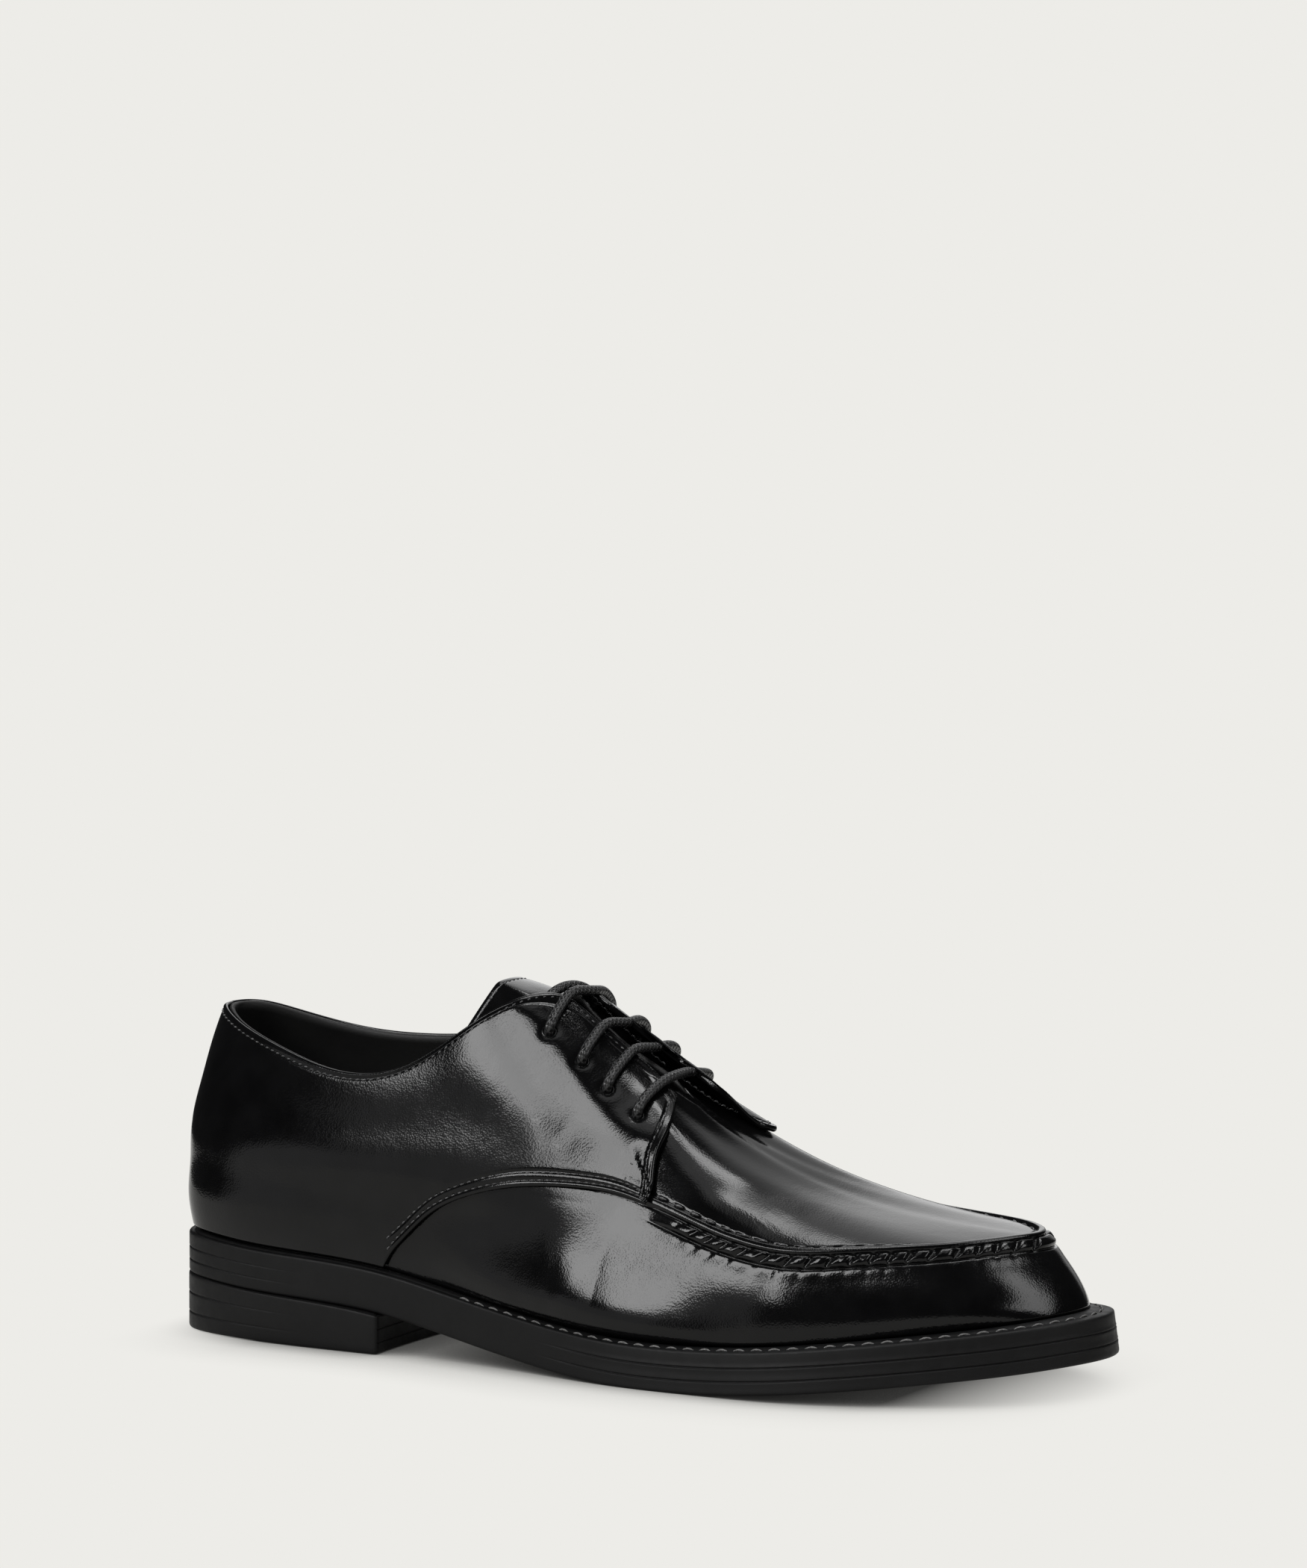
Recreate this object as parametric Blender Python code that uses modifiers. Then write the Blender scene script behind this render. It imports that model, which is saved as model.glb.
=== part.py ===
"""Right lace-up derby shoe with an apron toe, a layered rubber sole and a block heel.

Metres, +X to the toe, +Y to the inner (medial) side, +Z up, floor at z = 0.
Every closed line round the shoe is a function of one angle: 0 at the toe tip,
+-180 degrees at the back of the heel, negative on the outer (lateral) side.
A table row is one section of the shoe, at a share s of the length from heel to toe.
"""
import math

import bmesh
import bpy
import numpy as np
from mathutils import Matrix, Vector

MM = 0.001
SOLE_LENGTH = 306.0
GAP = 0.3
# Middle of the shoe's box in the tables' own millimetres, moved to the origin.
ORIGIN = (0.88, 0.31, 0.0)

WELT_THICK = 5.0
MIDSOLE_THICK = 3.7
OUTSOLE_THICK = 4.0
SOLE_FLARE = 1.8
EDGE_CHAMFER = 0.5
BREAST_SHARE = 0.275
HEEL_PROUD = 2.4
HEEL_LIFTS = 3

WALL = 1.6
QUARTER_GAP = 0.5
QUARTER_THICK = 1.3
QUARTER_FOOT = 0.035
RIDGE_HEIGHT = 1.3
RIDGE_HALF_WIDTH = 2.4
RIDGE_END_DEG = 82.0

INSOLE_THICK = 2.6
INSOLE_CLEAR = 1.2
INSOLE_BEVEL = 1.8
TONGUE_THICK = 1.5

EYELET_RADIUS = 1.75
LACE_RADIUS = 1.4
LACE_CLEAR = 0.7
LACE_CREST = 1.0
LACE_EDGE = 6.5

AROUND = 76
SOLE_AROUND = 64
LEATHER = (0.012, 0.012, 0.013)
RUBBER = (0.026, 0.026, 0.027)
LINING = (0.018, 0.017, 0.017)
CORD = (0.035, 0.035, 0.037)

# Sole outline: share of length, half widths to each side, height of the welt's top.
SOLE_COLUMNS = ("s", "lateral", "medial", "height")
SOLE_ROWS = (
    (0.00, 0.0, 0.0, 31.2),
    (0.02, 23.0, 21.5, 30.9),
    (0.06, 30.9, 31.0, 30.0),
    (0.12, 35.1, 35.6, 28.6),
    (0.20, 37.1, 36.6, 27.4),
    (0.28, 37.6, 35.5, 24.9),
    (0.36, 39.5, 34.0, 20.3),
    (0.45, 44.2, 36.5, 15.9),
    (0.55, 50.7, 44.0, 13.2),
    (0.65, 53.1, 51.0, 13.2),
    (0.73, 53.2, 54.0, 15.0),
    (0.80, 48.6, 52.5, 17.2),
    (0.88, 38.1, 45.5, 19.9),
    (0.94, 26.1, 35.0, 22.0),
    (0.98, 13.0, 22.5, 23.6),
    (1.00, -4.8, 4.8, 24.3),
)

# Width of the welt that shows outside the upper.
MARGIN_COLUMNS = ("s", "margin")
MARGIN_ROWS = (
    (0.00, 3.4), (0.20, 3.2), (0.36, 3.4), (0.50, 4.6),
    (0.65, 5.4), (0.80, 6.2), (0.94, 7.2), (1.00, 7.5),
)

# Shoulder line of the last: the apron seam in front, half way up the quarters behind.
# lean: how far the wall starts upright, swell: its bulge, sag: hollow of the instep above it.
SEAM_COLUMNS = ("s", "x", "lateral", "medial", "z_lateral", "z_medial", "lean", "swell", "sag")
SEAM_ROWS = (
    (0.00, -151.2, 0.0, 0.0, 63.0, 63.0, 0.2, 1.6, -0.05),
    (0.02, -144.3, 19.6, 19.3, 62.5, 62.5, 0.2, 1.6, -0.05),
    (0.06, -131.5, 27.6, 27.4, 61.5, 61.5, 0.3, 1.6, -0.05),
    (0.12, -113.5, 32.5, 32.2, 60.0, 60.5, 0.5, 1.6, -0.08),
    (0.20, -90.0, 35.6, 34.4, 58.0, 59.5, 0.7, 1.6, -0.10),
    (0.28, -68.5, 36.8, 34.2, 57.0, 59.5, 0.9, 1.6, -0.12),
    (0.36, -46.0, 37.6, 33.6, 57.0, 60.5, 1.0, 1.7, -0.14),
    (0.45, -17.0, 38.6, 33.0, 57.0, 63.5, 1.0, 1.9, -0.14),
    (0.55, 17.0, 39.6, 33.2, 54.5, 66.5, 1.0, 1.9, -0.06),
    (0.65, 45.0, 38.1, 34.6, 45.8, 57.2, 1.0, 1.7, 0.00),
    (0.73, 66.5, 35.2, 36.0, 41.3, 48.6, 0.9, 1.4, 0.12),
    (0.80, 85.0, 30.6, 34.9, 41.8, 45.2, 0.8, 1.1, 0.30),
    (0.88, 107.3, 19.8, 30.0, 43.3, 44.4, 0.6, 0.7, 0.53),
    (0.94, 121.0, 8.8, 22.6, 44.3, 44.6, 0.5, 0.4, 0.66),
    (0.98, 128.7, -1.0, 15.2, 45.0, 45.0, 0.4, 0.2, 0.73),
    (1.00, 131.2, -8.0, 8.0, 45.2, 45.2, 0.4, 0.2, 0.75),
)

# Top edge: throat slot in front, facing corners, then the collar to the back of the heel.
TOP_COLUMNS = ("s", "x", "lateral", "medial", "z_lateral", "z_medial")
TOP_ROWS = (
    (0.00, -143.3, 0.0, 0.0, 99.4, 99.4),
    (0.02, -138.6, 10.8, 10.8, 98.8, 99.2),
    (0.06, -127.5, 18.3, 18.0, 95.2, 96.2),
    (0.12, -109.5, 24.2, 23.6, 89.4, 92.2),
    (0.20, -88.0, 27.6, 26.4, 84.6, 90.2),
    (0.28, -69.0, 27.8, 26.6, 86.0, 92.2),
    (0.36, -53.5, 25.6, 24.6, 94.0, 98.0),
    (0.45, -38.5, 20.4, 19.4, 104.6, 106.6),
    (0.55, -26.5, 10.5, 10.0, 110.9, 112.0),
    (0.65, -18.0, 5.6, 5.6, 107.8, 108.4),
    (0.73, -11.0, 5.0, 5.0, 102.6, 103.0),
    (0.80, -4.5, 4.8, 4.8, 97.6, 97.8),
    (0.88, 3.5, 4.7, 4.7, 91.4, 91.5),
    (0.94, 10.0, 4.4, 4.4, 86.2, 86.3),
    (0.98, 15.0, 2.6, 2.6, 82.4, 82.4),
    (1.00, 16.8, 0.0, 0.0, 81.0, 81.0),
)

# Edges of a quarter in the upper's own terms: angle from the toe and level (0 welt, 1 seam, 2 top).
QUARTER_COLUMNS = ("angle", "level")
QUARTER_LOWER = (
    (117.0, 0.00), (115.3, 0.20), (113.2, 0.37), (108.5, 0.67), (102.5, 0.864),
    (97.4, 0.947), (91.6, 0.980), (85.8, 0.986), (81.8, 0.975),
)
QUARTER_FRONT = (
    (81.8, 0.975), (78.6, 1.16), (73.3, 1.347), (64.6, 1.56), (50.0, 1.79), (40.0, 1.91), (36.0, 1.985),
)
EYELET_COLUMNS = ("angle", "level")
EYELETS = ((87.6, 1.760), (83.2, 1.623), (79.8, 1.526), (74.7, 1.474))

# Tongue centre line with its half width, the drop of its sides and the tilt of its section.
TONGUE_COLUMNS = ("x", "z", "half", "drop", "tilt")
TONGUE_ROWS = (
    (26.0, 70.4, 14.0, 5.0, 36.0),
    (14.0, 78.6, 17.0, 7.0, 37.0),
    (0.0, 89.6, 19.0, 9.5, 37.0),
    (-15.0, 101.2, 20.0, 13.0, 35.0),
    (-30.0, 110.0, 20.5, 16.5, 30.0),
    (-43.0, 114.6, 20.5, 18.5, 26.0),
)


def column(rows, names, name):
    """One named column of a table as an array."""
    return np.array([row[names.index(name)] for row in rows], float)


def spline(knots, values):
    """Natural cubic spline through values[k] at the knots, as a function; values may hold arrays."""
    k = np.asarray(knots, float)
    v = np.asarray(values, float)
    n = len(k)
    h = np.diff(k)
    inner = np.arange(1, n - 1)
    band = np.zeros((n, n))
    band[0, 0] = band[-1, -1] = 1.0
    band[inner, inner - 1] = h[:-1]
    band[inner, inner] = 2.0 * (h[:-1] + h[1:])
    band[inner, inner + 1] = h[1:]
    slope = np.diff(v, axis=0) / h.reshape((-1,) + (1,) * (v.ndim - 1))
    bend = np.zeros_like(v)
    bend[1:-1] = 6.0 * np.diff(slope, axis=0)
    m = np.linalg.solve(band, bend.reshape(n, -1)).reshape(v.shape)

    def at(x):
        x = np.asarray(x, float)
        j = np.clip(np.searchsorted(k, x) - 1, 0, n - 2)
        w = h[j]
        p = (k[j + 1] - x) / w
        q = (x - k[j]) / w
        if v.ndim > 1:
            p, q, w = p[..., None], q[..., None], w[..., None]
        return p * v[j] + q * v[j + 1] + ((p**3 - p) * m[j] + (q**3 - q) * m[j + 1]) * w**2 / 6.0

    return at


def ring(share, values, odd=False):
    """Function of the angle round the shoe, mirrored about toe and heel with the given sign."""
    angle = np.arccos(2.0 * np.asarray(share, float) - 1.0)[::-1]
    v = np.asarray(values, float)[::-1]
    sign = -1.0 if odd else 1.0
    knots = np.concatenate([-angle[1:][::-1], angle, 2.0 * math.pi - angle[:-1][::-1]])
    level = np.concatenate([sign * v[1:][::-1], v, sign * v[:-1][::-1]])
    at = spline(knots, level)
    return lambda a: at((np.asarray(a, float) + math.pi) % (2.0 * math.pi) - math.pi)


def sides(rows, names, lateral, medial, sign):
    """Sum of an even and an odd ring from a lateral and a medial column."""
    share = column(rows, names, "s")
    a = sign * column(rows, names, lateral)
    b = column(rows, names, medial)
    half = (b - a) / 2.0
    half[0] = half[-1] = 0.0
    even = ring(share, (a + b) / 2.0)
    odd = ring(share, half, odd=True)
    return lambda angle: even(angle) + odd(angle)


def loop(rows, names):
    """Closed line round the shoe from a table with x, two half widths and two heights."""
    x = ring(column(rows, names, "s"), column(rows, names, "x"))
    y = sides(rows, names, "lateral", "medial", -1.0)
    z = sides(rows, names, "z_lateral", "z_medial", 1.0)
    return lambda angle: np.stack([x(angle), y(angle), z(angle)], -1)


SOLE_SHARE = column(SOLE_ROWS, SOLE_COLUMNS, "s")
sole_side = sides(SOLE_ROWS, SOLE_COLUMNS, "lateral", "medial", -1.0)
sole_height = ring(SOLE_SHARE, column(SOLE_ROWS, SOLE_COLUMNS, "height"))
welt_margin = ring(column(MARGIN_ROWS, MARGIN_COLUMNS, "s"), column(MARGIN_ROWS, MARGIN_COLUMNS, "margin"))
seam_line = loop(SEAM_ROWS, SEAM_COLUMNS)
top_line = loop(TOP_ROWS, TOP_COLUMNS)
wall_lean, wall_swell, instep_sag = (
    ring(column(SEAM_ROWS, SEAM_COLUMNS, "s"), column(SEAM_ROWS, SEAM_COLUMNS, name))
    for name in ("lean", "swell", "sag")
)


def outline(angle, inset=0.0, drop=0.0):
    """Sole outline at the welt's top, moved in by inset along its plan normal and down by drop."""
    angle = np.asarray(angle, float)

    def plan(a):
        return np.stack([SOLE_LENGTH * np.cos(a) / 2.0, sole_side(a)], -1)

    step = 1e-4
    along = plan(angle + step) - plan(angle - step)
    along /= np.linalg.norm(along, axis=-1, keepdims=True)
    out = np.stack([along[..., 1], -along[..., 0]], -1)
    inset = np.broadcast_to(inset, angle.shape)[..., None]
    flat = plan(angle) - out * inset
    return np.concatenate([flat, (sole_height(angle) - drop)[..., None]], -1), out


def crispness(angle):
    """1 round the apron, where wall and apron meet at an edge, to 0 along the quarters."""
    away = np.abs((np.asarray(angle) + math.pi) % (2.0 * math.pi) - math.pi)
    t = np.clip((math.radians(92.0) - away) / math.radians(30.0), 0.0, 1.0)
    return (t * t * (3.0 - 2.0 * t))[..., None]


def last_point(angle, level):
    """Outer face of the upper: level 0 at the welt, 1 on the seam line, 2 on the top edge.

    The wall rises evenly and leans in by a mix of its share and its square, with a swell low down;
    above the seam the height follows a mix of the share and its power 3.3.
    Behind the apron the levels are joined by one smooth spline.
    """
    angle, level = np.broadcast_arrays(np.asarray(angle, float), np.asarray(level, float))
    foot, out = outline(angle, welt_margin(angle), -GAP)
    seam = seam_line(angle)
    top = top_line(angle)
    lean = wall_lean(angle)[..., None]
    swell = wall_swell(angle)[..., None]
    sag = instep_sag(angle)[..., None]

    def wall(w):
        inward = (1.0 - lean) * w + lean * w * w
        point = foot + (seam - foot) * np.concatenate([inward, inward, w], -1)
        point[..., :2] += out * swell * 6.75 * w * (1.0 - w) ** 2
        return point

    def instep(t):
        rise = (1.0 - sag) * t + sag * t**3.3
        return seam + (top - seam) * np.concatenate([t, t, rise], -1)

    share = level[..., None]
    sharp = np.where(share <= 1.0, wall(np.clip(share, 0.0, 1.0)), instep(np.clip(share - 1.0, 0.0, 1.0)))
    knots = (0.0, 0.33, 0.67, 1.0, 1.33, 1.67, 2.0)
    full = np.ones_like(share)
    stack = [wall(k * full) if k <= 1.0 else instep((k - 1.0) * full) for k in knots]
    smooth = smooth_levels(np.array(knots), np.stack(stack), level)
    crisp = crispness(angle)
    return smooth * (1.0 - crisp) + sharp * crisp


def smooth_levels(knots, stack, level):
    """Spline through stacked lines of points, read at each point's own level."""
    flat = stack.reshape(len(knots), -1, 3)
    weights = spline(knots, np.eye(len(knots)))(level.reshape(-1))
    return np.einsum("pk,kpc->pc", weights, flat).reshape(stack.shape[1:])


def last_normal(angle, level):
    """Outward unit normal of the upper's outer face."""
    step = 1e-3
    angle, level = np.broadcast_arrays(np.asarray(angle, float), np.asarray(level, float))
    along = last_point(angle + step, level) - last_point(angle - step, level)
    up = last_point(angle, np.minimum(level + step, 2.0)) - last_point(angle, np.maximum(level - step, 0.0))
    normal = np.cross(along, up)
    return normal / np.linalg.norm(normal, axis=-1, keepdims=True)


def offset_point(angle, level, distance):
    """Point of the upper's face moved out along its normal."""
    return last_point(angle, level) + distance * last_normal(angle, level)


def metres(points):
    """Table millimetres to metres in the shoe's frame."""
    return (np.asarray(points, float) - ORIGIN) * MM


def material(name, colour, roughness):
    """Principled material with one colour."""
    made = bpy.data.materials.new(name)
    made.use_nodes = True
    shader = made.node_tree.nodes["Principled BSDF"]
    shader.inputs["Base Color"].default_value = (*colour, 1.0)
    shader.inputs["Roughness"].default_value = roughness
    shader.inputs["Metallic"].default_value = 0.0
    return made


def new_object(name, points, faces, paint, group):
    """Mesh object from points in millimetres, faces turned outward."""
    mesh = bpy.data.meshes.new(name)
    mesh.from_pydata(metres(points).reshape(-1, 3).tolist(), [], faces)
    build = bmesh.new()
    build.from_mesh(mesh)
    bmesh.ops.recalc_face_normals(build, faces=build.faces)
    build.to_mesh(mesh)
    build.free()
    mesh.shade_smooth()
    mesh.set_sharp_from_angle(angle=math.radians(35.0))
    mesh.materials.append(paint)
    item = bpy.data.objects.new(name, mesh)
    group.objects.link(item)
    return item


def grid_faces(rows, columns, closed):
    """Quads of a grid of rows x columns points; closed joins the last column to the first."""
    faces = []
    for r in range(rows - 1):
        for c in range(columns if closed else columns - 1):
            d = (c + 1) % columns
            faces.append((r * columns + c, r * columns + d, (r + 1) * columns + d, (r + 1) * columns + c))
    return faces


def ladder_faces(start, count):
    """Cap of a closed line of count points that runs lateral heel to toe and back, as cross rungs."""
    faces = []
    last = count - 1
    for i in range((count - 1) // 2):
        a, b = i, i + 1
        c, d = last - i - 1, last - i
        faces.append((start + a, start + b, start + d) if b == c else (start + a, start + b, start + c, start + d))
    return faces


def plate(name, rings, paint, group):
    """Closed solid from stacked closed lines, with a ladder cap below and above."""
    count = len(rings[0])
    faces = grid_faces(len(rings), count, True)
    faces += ladder_faces(0, count)
    faces += ladder_faces((len(rings) - 1) * count, count)
    return new_object(name, np.concatenate(rings), faces, paint, group)


def sole_angles(count):
    """Angles round the whole shoe, half a step off the ends so that rungs pair up."""
    step = 2.0 * math.pi / count
    return -math.pi + step * (np.arange(count) + 0.5)


def sole_ring(angle, drop, inset):
    """Line round the sole at a depth below the welt's top, kept on or above the floor."""
    flare = SOLE_FLARE * np.asarray(drop) / (WELT_THICK + MIDSOLE_THICK + OUTSOLE_THICK)
    fore = np.clip((np.cos(angle) + 0.3) / 0.5, 0.0, 1.0)
    line, _ = outline(angle, inset - flare * fore, drop)
    line[:, 2] = np.maximum(line[:, 2], 0.0)
    return line


def sole_layer(name, top, thick, paint, group):
    """One layer of the sole between two depths, with a small chamfer on both edges."""
    angle = sole_angles(SOLE_AROUND)
    rings = [
        sole_ring(angle, top + thick, EDGE_CHAMFER),
        sole_ring(angle, top + thick - EDGE_CHAMFER, 0.0),
        sole_ring(angle, top + EDGE_CHAMFER, 0.0),
        sole_ring(angle, top, EDGE_CHAMFER),
    ]
    return plate(name, rings, paint, group)


def heel_lift(name, index, paint, group):
    """One lift of the heel block: an even share of the height between floor and outsole."""
    depth = WELT_THICK + MIDSOLE_THICK + OUTSOLE_THICK + 3.0 * GAP
    breast = math.acos(2.0 * BREAST_SHARE - 1.0)
    half = np.linspace(math.pi - 0.04, breast, 18)
    angle = np.concatenate([half[::-1], 2.0 * math.pi - half])
    proud = HEEL_PROUD * ((math.pi - np.abs((angle + math.pi) % (2.0 * math.pi) - math.pi)) / (math.pi - breast)) ** 2
    seat = sole_height(angle) - depth
    low = seat * index / HEEL_LIFTS + (GAP if index else 0.0)
    high = seat * (index + 1) / HEEL_LIFTS
    rings = []
    for level, inset in ((low, EDGE_CHAMFER), (low + EDGE_CHAMFER, 0.0),
                         (high - EDGE_CHAMFER, 0.0), (high, EDGE_CHAMFER)):
        line, _ = outline(angle, inset - proud)
        line[:, 2] = level
        line[:, 0] = np.minimum(line[:, 0], SOLE_LENGTH * (BREAST_SHARE - 0.5) - inset)
        rings.append(line)
    return plate(name, rings, paint, group)


def insole(paint, group):
    """Board on the welt layer, inside the upper."""
    angle = sole_angles(SOLE_AROUND)
    inset = welt_margin(angle) + WALL + INSOLE_CLEAR
    rings = [outline(angle, inset, -GAP)[0], outline(angle, inset + INSOLE_BEVEL, -GAP - INSOLE_THICK)[0]]
    return plate("insole", rings, paint, group)


def ridge_share(angle):
    """1 along the apron seam, fading out where the quarters cover it."""
    away = np.abs((angle + math.pi) % (2.0 * math.pi) - math.pi)
    t = np.clip((math.radians(RIDGE_END_DEG) - away) / math.radians(10.0), 0.0, 1.0)
    return t * t * (3.0 - 2.0 * t)


def upper(paint, group):
    """Hollow shell from welt to top edge: the outer face with its raised seam, then Solidify inward."""
    angle = -math.pi + 2.0 * math.pi * np.arange(AROUND) / AROUND
    foot = last_point(angle, 0.0)
    seam = last_point(angle, 1.0)
    top = last_point(angle, 2.0)
    below = 1.0 - RIDGE_HALF_WIDTH / np.linalg.norm(seam - foot, axis=-1)
    above = 1.0 + RIDGE_HALF_WIDTH / np.linalg.norm(top - seam, axis=-1)
    lines = [last_point(angle, below * w) for w in (0.0, 0.14, 0.32, 0.52, 0.72, 0.88, 1.0)]
    lines.append(offset_point(angle, 1.0, 0.0) + RIDGE_HEIGHT * ridge_share(angle)[:, None]
                 * (last_normal(angle, below) + last_normal(angle, above)) / 2.0)
    lines += [last_point(angle, above + (2.0 - above) * t) for t in (0.0, 0.18, 0.36, 0.54, 0.72, 0.88, 1.0)]
    shell = new_object("upper", np.concatenate(lines), grid_faces(len(lines), AROUND, True), paint, group)
    flip_outward(shell)
    wall = shell.modifiers.new("wall", "SOLIDIFY")
    wall.thickness = WALL * MM
    wall.offset = -1.0
    return shell


def flip_outward(item):
    """Turn an open surface so that its faces look away from the shoe's middle line."""
    mesh = item.data
    score = sum(p.area * p.normal.dot(p.center - Vector((p.center.x * 0.8, 0.0, 0.04))) for p in mesh.polygons)
    if score < 0.0:
        mesh.flip_normals()


def quarter_points(side, rows, columns):
    """Angle and level on a quarter: a four-sided patch between heel, top edge, front edge and lower edge.

    Each inner point is the sum of the two blends between opposite edges less the blend of the corners.
    """
    lower = np.array(QUARTER_LOWER)
    front = np.array(QUARTER_FRONT)
    along = np.linspace(0.0, 1.0, columns)[None, :]
    up = np.linspace(0.0, 1.0, rows)[:, None]
    heel_share = 0.5
    path = np.concatenate([[0.0], np.cumsum(np.hypot(np.diff(lower[:, 0]) / 18.0, np.diff(lower[:, 1])))])
    reach = heel_share + (1.0 - heel_share) * path / path[-1]
    low_angle = np.interp(along, np.concatenate([[0.0], reach]), np.concatenate([[180.0], lower[:, 0]]))
    low_level = np.interp(along, np.concatenate([[0.0], reach]), np.concatenate([[0.0], lower[:, 1]]))
    low_level = np.maximum(low_level, QUARTER_FOOT)
    top_angle = 180.0 + (front[-1, 0] - 180.0) * along
    top_level = 2.0 - (2.0 - front[-1, 1]) * along**8
    climb = np.concatenate([[0.0], np.cumsum(np.hypot(np.diff(front[:, 0]) / 40.0, np.diff(front[:, 1])))])
    front_angle = np.interp(up, climb / climb[-1], front[:, 0])
    front_level = np.interp(up, climb / climb[-1], front[:, 1])
    heel_level = QUARTER_FOOT + (2.0 - QUARTER_FOOT) * up

    def patch(low, high, back, fore):
        corners = ((1.0 - along) * ((1.0 - up) * low[:, :1] + up * high[:, :1])
                   + along * ((1.0 - up) * low[:, -1:] + up * high[:, -1:]))
        return (1.0 - up) * low + up * high + (1.0 - along) * back + along * fore - corners

    angle = patch(low_angle, top_angle, np.full_like(up, 180.0), front_angle)
    level = patch(low_level, top_level, heel_level, front_level)
    margin = 0.35 * (1.0 - along) ** 12
    return side * np.radians(angle - margin), np.clip(level, 0.0, 2.0)


def quarter(name, side, paint, group, cutters):
    """Outer panel over the upper with its facing and eyelet holes."""
    rows, columns = 11, 31
    angle, level = quarter_points(side, rows, columns)
    points = offset_point(angle, level, QUARTER_GAP)
    panel = new_object(name, points, grid_faces(rows, columns, False), paint, group)
    flip_outward(panel)
    skin = panel.modifiers.new("leather", "SOLIDIFY")
    skin.thickness = QUARTER_THICK * MM
    skin.offset = 1.0
    for cutter in cutters:
        punch = panel.modifiers.new(cutter.name, "BOOLEAN")
        punch.operation = "DIFFERENCE"
        punch.object = cutter
    return panel


def eyelet_frame(side, index):
    """Centre of an eyelet on the quarter's outer face and the outward direction there."""
    angle, level = EYELETS[index]
    a = np.array(side * math.radians(angle))
    v = np.array(level)
    return offset_point(a, v, QUARTER_GAP + QUARTER_THICK), last_normal(a, v)


def eyelet_cutter(side, index, group):
    """Round punch through quarter and upper at one eyelet."""
    centre, out = eyelet_frame(side, index)
    bpy.ops.mesh.primitive_cylinder_add(vertices=12, radius=EYELET_RADIUS * MM, depth=14.0 * MM)
    punch = bpy.context.object
    punch.name = "eyelet_cut_%s_%d" % ("lateral" if side < 0 else "medial", index + 1)
    turn = Vector(out).to_track_quat("Z", "Y").to_matrix().to_4x4()
    punch.matrix_world = Matrix.Translation(Vector(metres(centre))) @ turn
    punch.display_type = "WIRE"
    punch.hide_render = True
    for owner in list(punch.users_collection):
        owner.objects.unlink(punch)
    group.objects.link(punch)
    return punch


def tongue(paint, group):
    """Curved plate under the facings: its centre line from the table, its sides dropping by a square law."""
    station = np.linspace(0.0, 1.0, len(TONGUE_ROWS))
    fine = np.linspace(0.0, 1.0, 11)
    x, z, half, drop, tilt = (
        spline(station, column(TONGUE_ROWS, TONGUE_COLUMNS, name))(fine)[:, None] for name in TONGUE_COLUMNS
    )
    across = np.linspace(-1.0, 1.0, 9)[None, :]
    fall = drop * across**2
    lean = np.radians(tilt)
    points = np.stack(np.broadcast_arrays(
        x - fall * np.sin(lean), half * across * (1.0 - 0.08 * across**2), z - fall * np.cos(lean)), -1)
    sheet = new_object("tongue", points, grid_faces(11, 9, False), paint, group)
    if sum(p.normal.z * p.area for p in sheet.data.polygons) < 0.0:
        sheet.data.flip_normals()
    body = sheet.modifiers.new("thickness", "SOLIDIFY")
    body.thickness = TONGUE_THICK * MM
    body.offset = -1.0
    return sheet


def over_plan(x, y, angle, level):
    """Angle and level of the upper's face over plan points (x, y), by Newton steps from a first guess."""
    step = 1e-3
    goal = np.stack([x, y], -1)
    for _ in range(12):
        here = last_point(angle, level)[..., :2]
        turn = (last_point(angle + step, level)[..., :2] - here) / step
        climb = (last_point(angle, level - step)[..., :2] - here) / -step
        miss = goal - here
        area = turn[..., 0] * climb[..., 1] - turn[..., 1] * climb[..., 0]
        angle = angle + (miss[..., 0] * climb[..., 1] - miss[..., 1] * climb[..., 0]) / area
        level = level + (turn[..., 0] * miss[..., 1] - turn[..., 1] * miss[..., 0]) / area
        level = np.clip(level, 1.0, 2.0)
    return angle, level


def lace_path(index):
    """Centre line of one lace bar: straight across in plan, lifted off the two facings it crosses."""
    lift = QUARTER_GAP + QUARTER_THICK + LACE_RADIUS + LACE_CLEAR
    flanks = []
    for side in (-1.0, 1.0):
        angle = np.full(4, side * math.radians(EYELETS[index][0]))
        level = np.full(4, EYELETS[index][1])
        foot = last_point(angle, level)
        reach = np.array([1.0, 0.75, 0.5, LACE_EDGE / abs(foot[0, 1])])
        angle, level = over_plan(foot[:, 0], foot[:, 1] * reach, angle, level)
        flanks.append(offset_point(angle, level, lift))
    crest = (flanks[0][-1] + flanks[1][-1]) / 2.0 + (0.0, 0.0, LACE_CREST)
    points = np.stack([*flanks[0], crest, *flanks[1][::-1]])
    return spline(np.arange(9), points)(np.linspace(0.0, 8.0, 13))


def lace_bar(index, paint, group):
    """Straight bar of round lace from eyelet to eyelet, arched over both facings."""
    path = lace_path(index)
    curve = bpy.data.curves.new("lace_bar_%d" % (index + 1), "CURVE")
    curve.dimensions = "3D"
    run = curve.splines.new("POLY")
    run.points.add(len(path) - 1)
    for spot, (x, y, z) in zip(run.points, metres(path)):
        spot.co = (x, y, z, 1.0)
    curve.bevel_depth = LACE_RADIUS * MM
    curve.bevel_resolution = 2
    curve.use_fill_caps = True
    curve.materials.append(paint)
    item = bpy.data.objects.new(curve.name, curve)
    group.objects.link(item)
    return item


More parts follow.
